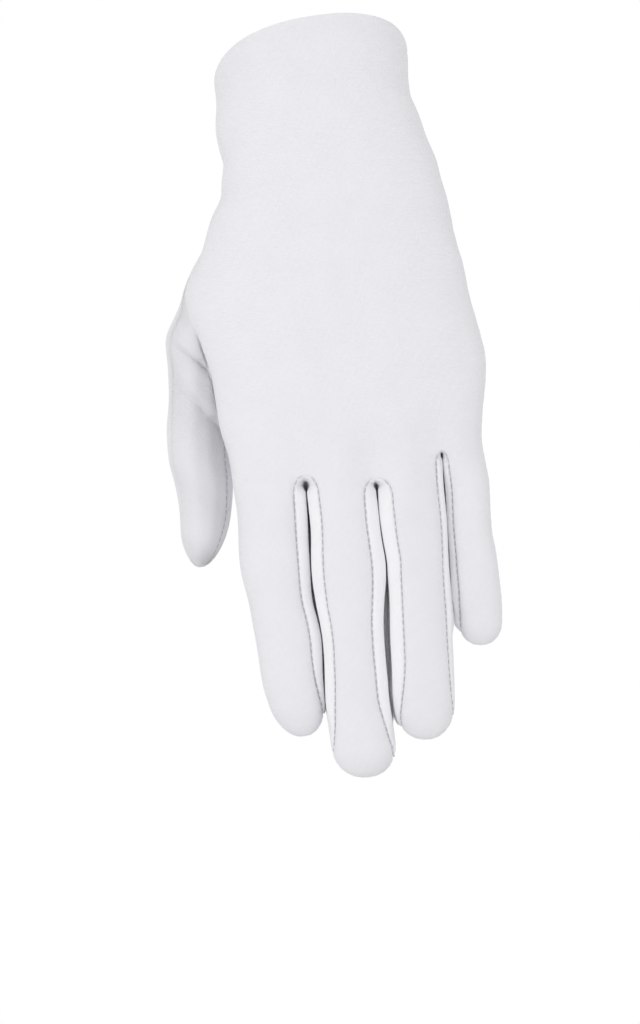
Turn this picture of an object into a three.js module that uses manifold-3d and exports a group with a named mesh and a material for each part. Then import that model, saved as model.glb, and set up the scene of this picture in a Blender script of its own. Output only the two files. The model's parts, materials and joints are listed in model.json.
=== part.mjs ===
// A white dress glove for the left hand, in its worn form. Sizes are in millimetres.
// The fingers point down, to -Z. The back of the hand faces -Y and the little finger lies at +X.
// The origin is the middle of the wrist opening.

import * as THREE from 'three';
import { mergeVertices } from 'three/addons/utils/BufferGeometryUtils.js';
import Module from 'manifold-3d';

// Cloth
const CLOTH = 1.0; // thickness of the knitted cloth
const SEAM_GAP = 0.3; // clearance between two pieces that are sewn together
const HEM_HEIGHT = 12; // height of the turned-in wrist hem

// Hand
const HAND_LENGTH = 127; // middle of the wrist opening to the fork of index and middle finger
const HAND_THICKNESS = 29; // back to palm at the knuckles
const CUFF_WIDTH = 61; // wrist opening, side to side
const CUFF_DEPTH = 38; // wrist opening, back to palm
const CUFF_RISE_BACK = 14.5; // how far the opening's back edge stands above its middle
const CUFF_RISE_SIDE = 3; // how far the opening's little-finger side stands above its middle
const WRIST_LEAN = 21.5; // how far the opening lies behind the knuckles, to the palm side
const MIDDLE_AXIS_X = -0.5; // the middle finger's axis, off the middle of the opening
const WEB_DROP = 12; // how much lower the forks lie on the palm than on the back
const FORK_ARCH = 6; // height of the round arch over each fork
const KNUCKLE_VALLEY = 2.2; // depth of the dip between two knuckles
const PALM_MOUND = 5; // height of the ball of the thumb over the palm

// Fingers. Their lengths are measured from the level of HAND_LENGTH.
const FINGER_GAP = 0.8;
const FINGER_CURL = 6; // how far the fingertips bend to the palm
const INDEX_LENGTH = 80.5;
const MIDDLE_LENGTH = 94.7;
const RING_LENGTH = 84.2;
const LITTLE_LENGTH = 56.6;
const INDEX_WIDTH = 21.8;
const MIDDLE_WIDTH = 21;
const RING_WIDTH = 20;
const LITTLE_WIDTH = 14;
const FINGER_DEPTH_SHARE = 0.84; // a finger's depth, as a share of its width

// Thumb
const THUMB_LENGTH = 106; // the start of its tube, inside the hand, to its tip
const THUMB_WIDTH = 20.5;
const THUMB_DEPTH = 21;
const THUMB_START = 47; // the start of its tube, below the wrist opening
const THUMB_FOLD_DEPTH = 1.3;
const THUMB_FOLD_WIDTH = 2.6;

// Shapes of the sections: 2 is an ellipse, more is squarer
const HAND_SQUARENESS = 2.3;
const FINGER_SQUARENESS = 2.3;
const TIP_SQUARENESS = 2.2;
const STRIP_ROUNDNESS = 0.6; // of a side strip: 1 is a flat arch between its seams, 0.5 a round one

// Where forms begin and end, as shares of the size that each comment names
const SLANT_FADE = 0.45; // where the slant of the wrist opening ends, of HAND_LENGTH
const VALLEY_START = 0.8; // where the dips between the knuckles begin, of HAND_LENGTH
const VALLEY_WIDTH = 0.3; // half width of such a dip, of MIDDLE_WIDTH
const BLEND_WIDTHS = 0.65; // length over which a finger leaves the hand's form, of MIDDLE_WIDTH
const CAP_WIDTHS = 0.5; // length of a finger's rounded tip, of its width
const SEAM_TAPER = 1.1; // length over which a finger's seam runs out, of its width
const THUMB_CAP_SHARE = 0.13; // length of the thumb's rounded tip, of THUMB_LENGTH
const RIDGE_OFFSET = 1.6; // how far the puffed cloth lies above a thumb fold, of THUMB_FOLD_WIDTH
const RIDGE_SPREAD = 1.2; // half width of the puffed cloth, of THUMB_FOLD_WIDTH

// Steps of the mesh
const HAND_ROWS = 14;
const HEM_ROWS = 2;
const ARCH_ROWS = 3;
const SHAFT_ROWS = 8;
const CAP_ROWS = 5;
const PANEL_COLUMNS = 6;
const STRIP_COLUMNS = 4;
const FOLD_STEPS = 3;
const THUMB_ROWS = 26;
const THUMB_CAP_ROWS = 6;
const THUMB_SIDES = 20;
const MERGE_DISTANCE = 1e-4;
const LONGEST_STEP = 2.5; // how many times a seam's corner or fold may lengthen the step back from it

// Sections of the hand, from the wrist opening (along 0) to the finger forks (along 1).
// along: share of HAND_LENGTH. cuff: how much the section follows the size of the wrist opening,
// where 0 follows the knuckles. radial and ulnar: reach to the thumb's side and to the little
// finger's side, as shares of half that size. lean: share of WRIST_LEAN. back and palm: depth to
// each side, as shares of half the thickness.
const HAND_SECTIONS = [
  { along: 0.0, cuff: 1.0, radial: 1.0, ulnar: 0.997, lean: 0.0, back: 1.0, palm: 1.0 },
  { along: 0.055, cuff: 1.0, radial: 0.99, ulnar: 0.993, lean: 0.16, back: 0.99, palm: 0.98 },
  { along: 0.116, cuff: 1.0, radial: 1.02, ulnar: 1.0, lean: 0.31, back: 0.97, palm: 0.95 },
  { along: 0.165, cuff: 0.9, radial: 0.984, ulnar: 1.016, lean: 0.42, back: 0.98, palm: 0.96 },
  { along: 0.21, cuff: 0.75, radial: 0.942, ulnar: 1.0, lean: 0.5, back: 1.0, palm: 1.0 },
  { along: 0.264, cuff: 0.5, radial: 0.95, ulnar: 0.975, lean: 0.59, back: 1.05, palm: 1.09 },
  { along: 0.3, cuff: 0.35, radial: 0.95, ulnar: 0.945, lean: 0.64, back: 1.07, palm: 1.14 },
  { along: 0.352, cuff: 0.2, radial: 1.035, ulnar: 0.932, lean: 0.71, back: 1.09, palm: 1.2 },
  { along: 0.4, cuff: 0.1, radial: 1.098, ulnar: 0.921, lean: 0.77, back: 1.1, palm: 1.26 },
  { along: 0.46, cuff: 0.0, radial: 1.165, ulnar: 0.917, lean: 0.83, back: 1.1, palm: 1.33 },
  { along: 0.515, cuff: 0.0, radial: 1.226, ulnar: 0.945, lean: 0.87, back: 1.1, palm: 1.35 },
  { along: 0.565, cuff: 0.0, radial: 1.25, ulnar: 0.965, lean: 0.9, back: 1.09, palm: 1.35 },
  { along: 0.612, cuff: 0.0, radial: 1.235, ulnar: 0.987, lean: 0.92, back: 1.07, palm: 1.32 },
  { along: 0.676, cuff: 0.0, radial: 1.19, ulnar: 1.027, lean: 0.945, back: 1.04, palm: 1.27 },
  { along: 0.738, cuff: 0.0, radial: 1.128, ulnar: 1.053, lean: 0.965, back: 1.02, palm: 1.2 },
  { along: 0.8, cuff: 0.0, radial: 1.105, ulnar: 1.04, lean: 0.98, back: 1.0, palm: 1.13 },
  { along: 0.872, cuff: 0.0, radial: 1.078, ulnar: 1.005, lean: 0.99, back: 0.98, palm: 1.06 },
  { along: 0.94, cuff: 0.0, radial: 1.023, ulnar: 0.991, lean: 1.0, back: 0.965, palm: 0.99 },
  { along: 1.0, cuff: 0.0, radial: 1.0, ulnar: 1.0, lean: 1.0, back: 0.95, palm: 0.9 },
  { along: 1.12, cuff: 0.0, radial: 1.0, ulnar: 1.0, lean: 1.0, back: 0.9, palm: 0.76 },
];

// Side edges of the fingers. along: share of the finger's length. radial and ulnar: the edges to
// the thumb's side and to the little finger's side, as shares of half the width from the axis.
const INDEX_EDGES = [
  { along: 0.0, radial: -1.02, ulnar: 0.98 },
  { along: 0.17, radial: -0.975, ulnar: 0.985 },
  { along: 0.33, radial: -0.99, ulnar: 0.965 },
  { along: 0.47, radial: -0.82, ulnar: 0.975 },
  { along: 0.56, radial: -0.765, ulnar: 1.08 },
  { along: 0.63, radial: -0.71, ulnar: 1.13 },
  { along: 0.79, radial: -0.61, ulnar: 1.1 },
  { along: 0.89, radial: -0.44, ulnar: 1.1 },
  { along: 1.0, radial: -0.25, ulnar: 1.11 },
];
const MIDDLE_EDGES = [
  { along: 0.0, radial: -1.0, ulnar: 0.98 },
  { along: 0.16, radial: -0.97, ulnar: 1.0 },
  { along: 0.3, radial: -1.04, ulnar: 1.1 },
  { along: 0.36, radial: -1.05, ulnar: 1.09 },
  { along: 0.43, radial: -0.99, ulnar: 1.0 },
  { along: 0.49, radial: -0.91, ulnar: 0.915 },
  { along: 0.56, radial: -0.875, ulnar: 0.885 },
  { along: 0.69, radial: -0.92, ulnar: 0.915 },
  { along: 0.76, radial: -0.94, ulnar: 0.93 },
  { along: 0.82, radial: -0.925, ulnar: 0.99 },
  { along: 0.9, radial: -0.88, ulnar: 1.03 },
  { along: 1.0, radial: -0.77, ulnar: 1.01 },
];
const RING_EDGES = [
  { along: 0.0, radial: -1.0, ulnar: 0.99 },
  { along: 0.11, radial: -1.0, ulnar: 0.99 },
  { along: 0.25, radial: -0.965, ulnar: 1.0 },
  { along: 0.33, radial: -0.89, ulnar: 0.97 },
  { along: 0.4, radial: -0.91, ulnar: 0.95 },
  { along: 0.55, radial: -0.94, ulnar: 0.945 },
  { along: 0.7, radial: -0.98, ulnar: 0.93 },
  { along: 0.85, radial: -1.04, ulnar: 0.88 },
  { along: 1.0, radial: -0.94, ulnar: 0.78 },
];
const LITTLE_EDGES = [
  { along: 0.0, radial: -1.0, ulnar: 0.86 },
  { along: 0.12, radial: -1.0, ulnar: 0.955 },
  { along: 0.37, radial: -1.03, ulnar: 0.915 },
  { along: 0.5, radial: -1.04, ulnar: 1.04 },
  { along: 0.65, radial: -1.03, ulnar: 1.09 },
  { along: 0.8, radial: -1.0, ulnar: 1.1 },
  { along: 1.0, radial: -0.8, ulnar: 1.0 },
];

// Depth of every finger. along: share of the finger's length. depth: share of its full depth.
// curl: share of FINGER_CURL.
const FINGER_PROFILE = [
  { along: -0.1, depth: 1.08, curl: 0.0 },
  { along: 0.15, depth: 1.06, curl: 0.0 },
  { along: 0.4, depth: 1.0, curl: 0.1 },
  { along: 0.65, depth: 0.94, curl: 0.36 },
  { along: 0.85, depth: 0.86, curl: 0.7 },
  { along: 1.0, depth: 0.78, curl: 1.0 },
];

// Fingers from the thumb's side on. arch: how far the knuckle stands up, as a share of
// HAND_THICKNESS. radialSeam and ulnarSeam: where the seams run, as shares of half the width, with
// 1 where the cloth goes round without a seam. radialJoin and ulnarJoin: where the seams run out,
// as shares of the width from the tip.
const FINGERS = [
  { width: INDEX_WIDTH, length: INDEX_LENGTH, edges: INDEX_EDGES, arch: 0.06,
    radialSeam: 1, ulnarSeam: 0.7, radialJoin: 0.3, ulnarJoin: 0.29 },
  { width: MIDDLE_WIDTH, length: MIDDLE_LENGTH, edges: MIDDLE_EDGES, arch: 0.14,
    radialSeam: 0.71, ulnarSeam: 0.67, radialJoin: 0.4, ulnarJoin: 0.26 },
  { width: RING_WIDTH, length: RING_LENGTH, edges: RING_EDGES, arch: 0.13,
    radialSeam: 0.6, ulnarSeam: 0.87, radialJoin: 0.2, ulnarJoin: 0.33 },
  { width: LITTLE_WIDTH, length: LITTLE_LENGTH, edges: LITTLE_EDGES, arch: 0.04,
    radialSeam: 0.8, ulnarSeam: 1, radialJoin: 0.3, ulnarJoin: 0.3 },
];

// Lines between the panels, from the thumb's side to the little finger's. level: where the
// fingers begin, as a share of HAND_LENGTH. arch: share of FORK_ARCH. web: share of WEB_DROP.
const LINES = [
  { level: 0.998, arch: 1.0, web: 0 },
  { level: 0.998, arch: 1.0, web: 1 },
  { level: 1.018, arch: 1.0, web: 1 },
  { level: 0.963, arch: 0.7, web: 1 },
  { level: 0.95, arch: 0.7, web: 0 },
];

// Mounds of the palm. x: place across, as a share of the knuckles' reach to that side, with - to
// the thumb's side. along, length: place and half length, as shares of HAND_LENGTH. width: half
// width, as a share of CUFF_WIDTH. height: share of PALM_MOUND.
const PALM_MOUNDS = [
  { x: -0.8, along: 0.52, length: 0.16, width: 0.26, height: 1.0 },
  { x: 0.62, along: 0.55, length: 0.24, width: 0.26, height: 0.35 },
];

const FORK_NAMES = ['index_middle', 'middle_ring', 'ring_little'];

// Sections of the thumb's tube. along: share of THUMB_LENGTH. radial and ulnar: its side edges,
// as shares of THUMB_WIDTH from the knuckles' radial reach, with + to the thumb's side.
// palm: its axis behind the hand's middle, as a share of HAND_THICKNESS. depth: half its depth,
// as a share of THUMB_DEPTH.
const THUMB_SECTIONS = [
  { along: 0.0, radial: -0.22, ulnar: -1.15, palm: 0.05, depth: 0.3 },
  { along: 0.1, radial: 0.27, ulnar: -1.08, palm: 0.19, depth: 0.47 },
  { along: 0.18, radial: 0.49, ulnar: -0.78, palm: 0.29, depth: 0.56 },
  { along: 0.25, radial: 0.68, ulnar: -0.55, palm: 0.36, depth: 0.6 },
  { along: 0.32, radial: 0.86, ulnar: -0.36, palm: 0.4, depth: 0.59 },
  { along: 0.4, radial: 0.87, ulnar: -0.2, palm: 0.43, depth: 0.56 },
  { along: 0.5, radial: 0.89, ulnar: -0.11, palm: 0.465, depth: 0.52 },
  { along: 0.6, radial: 0.955, ulnar: -0.03, palm: 0.485, depth: 0.49 },
  { along: 0.68, radial: 0.96, ulnar: 0.01, palm: 0.49, depth: 0.48 },
  { along: 0.76, radial: 0.885, ulnar: 0.015, palm: 0.48, depth: 0.46 },
  { along: 0.85, radial: 0.85, ulnar: 0.07, palm: 0.45, depth: 0.43 },
  { along: 0.93, radial: 0.86, ulnar: 0.19, palm: 0.42, depth: 0.39 },
  { along: 1.0, radial: 0.86, ulnar: 0.32, palm: 0.4, depth: 0.34 },
];

// Folds across the thumb. outer and inner: how far down the thumb each fold crosses its outer and
// its inner side, as shares of THUMB_LENGTH. depth: share of THUMB_FOLD_DEPTH. ridge: height of
// the puffed cloth above the fold, as a share of its depth.
const THUMB_FOLDS = [
  { outer: 0.345, inner: 0.425, depth: 1.0, ridge: 0.6 },
  { outer: 0.49, inner: 0.585, depth: 0.6, ridge: 0.8 },
];
const FOLD_SIDE = { none: -0.2, full: 0.5 }; // how far round the thumb the folds reach, 1 in front

// Materials
const CLOTH_COLOUR = 0xeef0f6;
const STRIP_COLOUR = 0xe6e9f3;
const CLOTH_ROUGHNESS = 0.85;

function clothMaterial(colour) {
  return new THREE.MeshStandardMaterial({ color: colour, roughness: CLOTH_ROUGHNESS, metalness: 0 });
}

const { lerp, clamp, smoothstep } = THREE.MathUtils;

// A smooth curve through one column of a table, as a function of `along`.
function column(table, name) {
  const at = table.map((row) => row.along);
  const value = table.map((row) => row[name]);
  const last = table.length - 1;
  const slope = table.map((row, i) => {
    const before = Math.max(i - 1, 0);
    const after = Math.min(i + 1, last);
    return (value[after] - value[before]) / (at[after] - at[before]);
  });
  return (along) => {
    if (along <= at[0]) return value[0];
    if (along >= at[last]) return value[last];
    const i = at.findIndex((start, n) => along < at[n + 1]);
    const span = at[i + 1] - at[i];
    const t = (along - at[i]) / span;
    const rise = value[i + 1] - value[i];
    const bendIn = slope[i] * span - rise;
    const bendOut = -slope[i + 1] * span + rise;
    return lerp(value[i], value[i + 1], t) + t * (1 - t) * (bendIn * (1 - t) + bendOut * t);
  };
}

// Height of a superellipse of radius 1 at `share` of its half width.
function arc(share, squareness) {
  const inside = clamp(Math.abs(share), 0, 1);
  return (1 - inside ** squareness) ** (1 / squareness);
}

// Fingers stand side by side from the middle finger outward.
function placeFingers() {
  const axes = [0, MIDDLE_AXIS_X, 0, 0];
  const step = (a, b) => FINGERS[a].width / 2 + FINGER_GAP + FINGERS[b].width / 2;
  axes[0] = axes[1] - step(0, 1);
  axes[2] = axes[1] + step(1, 2);
  axes[3] = axes[2] + step(2, 3);
  FINGERS.forEach((finger, i) => {
    finger.axis = axes[i];
    finger.tip = -HAND_LENGTH - finger.length;
    finger.radialEdge = column(finger.edges, 'radial');
    finger.ulnarEdge = column(finger.edges, 'ulnar');
  });
}
placeFingers();

const lastFinger = FINGERS.length - 1;
const KNUCKLE_REACH = {
  radial: -(FINGERS[0].axis + (FINGERS[0].width / 2) * INDEX_EDGES[0].radial),
  ulnar: FINGERS[lastFinger].axis + (FINGERS[lastFinger].width / 2) * LITTLE_EDGES[0].ulnar,
};

const hand = {};
for (const name of ['cuff', 'radial', 'ulnar', 'lean', 'back', 'palm']) {
  hand[name] = column(HAND_SECTIONS, name);
}
const fingerDepth = column(FINGER_PROFILE, 'depth');
const fingerCurl = column(FINGER_PROFILE, 'curl');

// Hand: reach to one side, depth to one face and the y of its middle, at a share of its length
function handReach(side, along) {
  const size = lerp(KNUCKLE_REACH[side], CUFF_WIDTH / 2, hand.cuff(along));
  return size * hand[side](along);
}

function handHalfDepth(face, along) {
  const size = lerp(HAND_THICKNESS, CUFF_DEPTH, hand.cuff(along)) / 2;
  return size * hand[face](along);
}

function handMiddle(along) {
  return -WRIST_LEAN * hand.lean(along);
}

// Side edge of a finger at a height. Above the forks the hand's own side goes on.
function outerEdge(i, side, z) {
  if (z > -HAND_LENGTH && i === 0 && side === 'radial') return -handReach('radial', -z / HAND_LENGTH);
  if (z > -HAND_LENGTH && i === lastFinger && side === 'ulnar') return handReach('ulnar', -z / HAND_LENGTH);
  const finger = FINGERS[i];
  const along = (-z - HAND_LENGTH) / finger.length;
  return finger.axis + (finger.width / 2) * finger[`${side}Edge`](along);
}

function fingerSection(i, z) {
  const finger = FINGERS[i];
  const intoCap = 1 - (z - finger.tip) / (CAP_WIDTHS * finger.width);
  const cap = intoCap > 0 ? arc(intoCap, TIP_SQUARENESS) : 1;
  const radial = outerEdge(i, 'radial', z);
  const ulnar = outerEdge(i, 'ulnar', z);
  const along = (-z - HAND_LENGTH) / finger.length;
  return {
    centre: (radial + ulnar) / 2,
    half: ((ulnar - radial) / 2) * cap,
    middle: -WRIST_LEAN - finger.arch * HAND_THICKNESS + FINGER_CURL * fingerCurl(along),
    depth: (finger.width / 2) * FINGER_DEPTH_SHARE * fingerDepth(along) * cap,
  };
}

// Fork between two fingers: midway between their side edges
function forkX(line) {
  return (outerEdge(line - 1, 'ulnar', -HAND_LENGTH) + outerEdge(line, 'radial', -HAND_LENGTH)) / 2;
}
const FORK_X = [1, 2, 3].map(forkX);

const SIGN = { back: -1, palm: 1 };

function valley(x, along, round) {
  const dips = FORK_X.map((fork) => Math.exp(-(((x - fork) / (VALLEY_WIDTH * MIDDLE_WIDTH)) ** 2)));
  return KNUCKLE_VALLEY * smoothstep(along, VALLEY_START, 1) * Math.max(...dips) * round;
}

function mounds(x, along) {
  return PALM_MOUNDS.reduce((height, mound) => {
    const middle = mound.x * KNUCKLE_REACH[mound.x < 0 ? 'radial' : 'ulnar'];
    const across = (x - middle) / (mound.width * CUFF_WIDTH);
    const down = (along - mound.along) / mound.length;
    return height + PALM_MOUND * mound.height * Math.exp(-(across ** 2) - down ** 2);
  }, 0);
}

function handY(face, x, along, radial, ulnar) {
  const round = arc((2 * x - radial - ulnar) / (ulnar - radial), HAND_SQUARENESS);
  const mound = face === 'palm' ? mounds(x, along) * round : 0;
  const depth = handHalfDepth(face, along) * round + mound - valley(x, along, round);
  return handMiddle(along) + SIGN[face] * depth;
}

function fingerY(face, x, section) {
  const round = arc((x - section.centre) / section.half, FINGER_SQUARENESS);
  return section.middle + SIGN[face] * section.depth * round;
}

// The wrist opening is cut aslant. The slant fades out along the hand.
function slant(x, y, along) {
  const side = (CUFF_RISE_SIDE * x) / (CUFF_WIDTH / 2);
  const back = (CUFF_RISE_BACK * (handMiddle(along) - y)) / (CUFF_DEPTH / 2);
  return (1 - smoothstep(along, 0, SLANT_FADE)) * (side + back);
}

// Rows: 0 at the wrist, FORK_ROW at the forks, JOIN_ROW where the finger seams run out and TIP_ROW
// at the fingertips.
const FORK_ROW = HAND_ROWS;
const JOIN_ROW = FORK_ROW + ARCH_ROWS + SHAFT_ROWS;
const TIP_ROW = JOIN_ROW + CAP_ROWS;
const hemShare = HEM_HEIGHT / HAND_LENGTH;

function rowShare(row) {
  if (row <= HEM_ROWS) return (hemShare * row) / HEM_ROWS;
  return lerp(hemShare, 1, (row - HEM_ROWS) / (HAND_ROWS - HEM_ROWS));
}

function lineStart(face, line) {
  const web = face === 'palm' ? WEB_DROP * LINES[line].web : 0;
  return -HAND_LENGTH * LINES[line].level - web;
}

const quarter = Math.PI / 2;
const archAngle = (row) => quarter * clamp((row - FORK_ROW) / ARCH_ROWS, 0, 1);

// Height of the panel's edge on one side of finger i, at a row
function edgeZ(face, i, side, row) {
  const line = side === 'radial' ? i : i + 1;
  const start = lineStart(face, line);
  if (row <= FORK_ROW) {
    const share = rowShare(row);
    return -HAND_LENGTH * share + (start + HAND_LENGTH) * share * share;
  }
  const finger = FINGERS[i];
  const arch = FORK_ARCH * LINES[line].arch;
  const join = finger.tip + finger[`${side}Join`] * finger.width;
  if (row <= FORK_ROW + ARCH_ROWS) return start - arch * (1 - Math.cos(archAngle(row)));
  if (row <= JOIN_ROW) return lerp(start - arch, join, (row - FORK_ROW - ARCH_ROWS) / SHAFT_ROWS);
  return lerp(join, finger.tip, Math.sin((quarter * (row - JOIN_ROW)) / CAP_ROWS));
}

// Place of a seam across its finger: a share of the half width, 1 from the join on. On the palm
// both seams of a finger lie alike.
function seamShare(face, i, side, z) {
  const finger = FINGERS[i];
  const own = finger[`${side}Seam`];
  const other = finger[side === 'radial' ? 'ulnarSeam' : 'radialSeam'];
  const seam = face === 'back' || own === 1 || other === 1 ? own : (own + other) / 2;
  const aboveJoin = z - finger.tip - finger[`${side}Join`] * finger.width;
  const open = clamp(aboveJoin / (SEAM_TAPER * finger.width), 0, 1);
  return lerp(1, seam, 1 - (1 - open) ** 2);
}

function lineX(line, along) {
  if (line === 0) return -handReach('radial', along);
  if (line === lastFinger + 1) return handReach('ulnar', along);
  const x = FORK_X[line - 1];
  const side = x < 0 ? 'radial' : 'ulnar';
  return (x * handReach(side, along)) / KNUCKLE_REACH[side];
}

// One edge of a panel at a row: its x, its z, its share across the finger and its drop below the
// fork
function panelEdge(face, i, side, row) {
  const line = side === 'radial' ? i : i + 1;
  const z = edgeZ(face, i, side, row);
  const drop = Math.max(lineStart(face, line) - z, 0);
  const away = side === 'radial' ? -1 : 1;
  if (row <= FORK_ROW) return { x: lineX(line, -z / HAND_LENGTH), z, drop: 0, share: away };
  const section = fingerSection(i, z);
  const share = away * seamShare(face, i, side, z);
  const seam = section.centre + share * section.half;
  const outside = line === 0 || line === lastFinger + 1;
  const x = outside ? seam : lerp(FORK_X[line - 1], seam, Math.sin(archAngle(row)));
  return { x, z, drop, share };
}

function fingerWeight(drop) {
  return smoothstep(drop, 0, BLEND_WIDTHS * MIDDLE_WIDTH);
}

// Columns lie closer together where the cloth turns round the side.
function columnShare(i, column, weight, from, to) {
  const t = column / PANEL_COLUMNS;
  const onHand = i === 0 ? 1 - Math.cos(quarter * t) : i === lastFinger ? Math.sin(quarter * t) : t;
  const power = FINGER_SQUARENESS / 2;
  const angle = (share) => Math.acos(Math.sign(share) * Math.min(Math.abs(share), 1) ** power);
  const cosine = Math.cos(lerp(angle(from), angle(to), t));
  const across = Math.sign(cosine) * Math.abs(cosine) ** (1 / power);
  return lerp(onHand, (across - from) / (to - from), weight);
}

// A point of the glove's outer surface
function panelPoint(face, i, row, columnNumber) {
  const finger = FINGERS[i];
  if (row === TIP_ROW) {
    const tip = fingerSection(i, finger.tip);
    return new THREE.Vector3(tip.centre, tip.middle, finger.tip);
  }
  const from = panelEdge(face, i, 'radial', row);
  const to = panelEdge(face, i, 'ulnar', row);
  const meanWeight = fingerWeight((from.drop + to.drop) / 2);
  const t = columnShare(i, columnNumber, meanWeight, from.share, to.share);
  const level = smoothstep(t, 0, 1);
  const x = lerp(from.x, to.x, t);
  const z = lerp(from.z, to.z, level);
  const weight = fingerWeight(lerp(from.drop, to.drop, level));
  const along = -z / HAND_LENGTH;
  const y = handY(face, x, along, outerEdge(0, 'radial', z), outerEdge(lastFinger, 'ulnar', z));
  if (weight === 0) return new THREE.Vector3(x, y, z + slant(x, y, along));
  return new THREE.Vector3(x, lerp(y, fingerY(face, x, fingerSection(i, z)), weight), z);
}

// The skin: every outer face of the glove without its thumb. Vertices are shared by their keys.
const skin = { points: [], keys: new Map(), trank: [], strips: [[], [], []] };

function vertex(key, makePoint) {
  if (!skin.keys.has(key)) {
    skin.keys.set(key, skin.points.length);
    skin.points.push(makePoint());
  }
  return skin.keys.get(key);
}

function panelVertex(face, i, row, columnNumber) {
  const make = () => panelPoint(face, i, row, columnNumber);
  if (row === TIP_ROW) return vertex(`tip ${i}`, make);
  const edge = columnNumber === 0 || columnNumber === PANEL_COLUMNS;
  if (!edge) return vertex(`${face} ${i} ${row} ${columnNumber}`, make);
  const line = columnNumber === 0 ? i : i + 1;
  const open = line === 0 || line === lastFinger + 1;
  if (row <= FORK_ROW) return vertex(`line ${line} ${row} ${open ? '' : face}`, make);
  const joined = open || row >= JOIN_ROW;
  return vertex(`edge ${i} ${line} ${row} ${joined ? '' : face}`, make);
}

function addQuad(faces, a, b, c, d) {
  const { points } = skin;
  const across = points[a].distanceTo(points[c]) < points[b].distanceTo(points[d]);
  const halves = across ? [[a, b, c], [a, c, d]] : [[a, b, d], [b, c, d]];
  for (const [p, q, r] of halves) {
    if (p !== q && q !== r && r !== p) faces.push([p, q, r]);
  }
}

function addPanels() {
  for (const face of ['back', 'palm']) {
    FINGERS.forEach((finger, i) => {
      for (let row = 0; row < TIP_ROW; row += 1) {
        for (let n = 0; n < PANEL_COLUMNS; n += 1) {
          const a = panelVertex(face, i, row, n);
          const b = panelVertex(face, i, row + 1, n);
          const c = panelVertex(face, i, row + 1, n + 1);
          const d = panelVertex(face, i, row, n + 1);
          if (face === 'back') addQuad(skin.trank, a, b, c, d);
          else addQuad(skin.trank, d, c, b, a);
        }
      }
    });
  }
}

// A point of a side strip. step runs from the join on the radial finger (negative), round the
// fork (0), to the join on the ulnar finger.
function stripPoint(fork, step, share, back, palm) {
  const row = FORK_ROW + Math.abs(step);
  const i = step <= 0 ? fork : fork + 1;
  const side = step <= 0 ? 'ulnar' : 'radial';
  const point = new THREE.Vector3().lerpVectors(back, palm, share);
  const section = fingerSection(i, (back.z + palm.z) / 2);
  const away = side === 'ulnar' ? 1 : -1;
  const edge = section.centre + away * section.half;
  const reach = Math.abs(edge - (back.x + palm.x) / 2) * Math.sin(archAngle(row)) ** 2;
  const puff = reach * (4 * share * (1 - share)) ** STRIP_ROUNDNESS;
  point.x += away * puff;
  return point;
}

function addStrip(fork) {
  const steps = JOIN_ROW - FORK_ROW;
  const stripVertex = (step, n) => {
    const row = FORK_ROW + Math.abs(step);
    const i = step <= 0 ? fork : fork + 1;
    const edge = step <= 0 ? PANEL_COLUMNS : 0;
    const back = panelVertex('back', i, row, edge);
    const palm = panelVertex('palm', i, row, edge);
    if (n === 0 || back === palm) return back;
    if (n === STRIP_COLUMNS) return palm;
    const ends = [skin.points[back], skin.points[palm]];
    return vertex(`strip ${fork} ${step} ${n}`, () => stripPoint(fork, step, n / STRIP_COLUMNS, ...ends));
  };
  for (let step = -steps; step < steps; step += 1) {
    for (let n = 0; n < STRIP_COLUMNS; n += 1) {
      const a = stripVertex(step + 1, n);
      const b = stripVertex(step, n);
      const c = stripVertex(step, n + 1);
      const d = stripVertex(step + 1, n + 1);
      addQuad(skin.strips[fork], a, b, c, d);
    }
  }
}

addPanels();
FORK_NAMES.forEach((name, fork) => addStrip(fork));

function faceNormal(points, [a, b, c]) {
  const ab = new THREE.Vector3().subVectors(points[b], points[a]);
  const ac = new THREE.Vector3().subVectors(points[c], points[a]);
  return ab.cross(ac);
}

// Normals at the vertices. At a seam every piece that meets there counts alike.
function vertexNormals(points, pieces) {
  const normals = points.map(() => new THREE.Vector3());
  for (const faces of pieces) {
    const own = new Map();
    for (const face of faces) {
      const normal = faceNormal(points, face);
      for (const v of face) own.set(v, (own.get(v) ?? new THREE.Vector3()).add(normal));
    }
    own.forEach((normal, v) => normals[v].add(normal.normalize()));
  }
  return normals.map((normal) => normal.normalize());
}

// Ways into the piece from its seam edges, so that it can step back from the seam. The step is
// longer at a corner of the seam and where two pieces meet in a sharp fold.
function seamSteps(points, faces, normals) {
  const owner = new Map();
  for (const face of faces) {
    face.forEach((a, n) => owner.set(`${a} ${face[(n + 1) % 3]}`, face));
  }
  const ways = new Map();
  for (const face of faces) {
    face.forEach((a, n) => {
      const b = face[(n + 1) % 3];
      if (owner.has(`${b} ${a}`)) return;
      const along = new THREE.Vector3().subVectors(points[b], points[a]);
      const inward = faceNormal(points, face).cross(along).normalize();
      for (const v of [a, b]) ways.set(v, [...(ways.get(v) ?? []), inward]);
    });
  }
  const steps = new Map();
  for (const [v, [first, second]] of ways) {
    const middle = new THREE.Vector3().addVectors(first, second ?? first).normalize();
    const corner = middle.dot(first);
    const fold = Math.sqrt(1 - middle.dot(normals[v]) ** 2);
    const length = SEAM_GAP / 2 / Math.max(corner * fold, 1 / LONGEST_STEP);
    steps.set(v, middle.multiplyScalar(length));
  }
  return steps;
}

// A sheet of cloth: its outer and inner points in pairs, and its faces
function makeSheet(faces, normals, isFree) {
  const steps = seamSteps(skin.points, faces, normals);
  const outer = new Map();
  const inner = new Map();
  for (const v of new Set(faces.flat())) {
    const point = skin.points[v].clone();
    if (steps.has(v) && !isFree(v)) point.add(steps.get(v));
    outer.set(v, point);
    inner.set(v, point.clone().addScaledVector(normals[v], -CLOTH));
  }
  return { outer, inner, faces: [...faces] };
}

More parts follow.
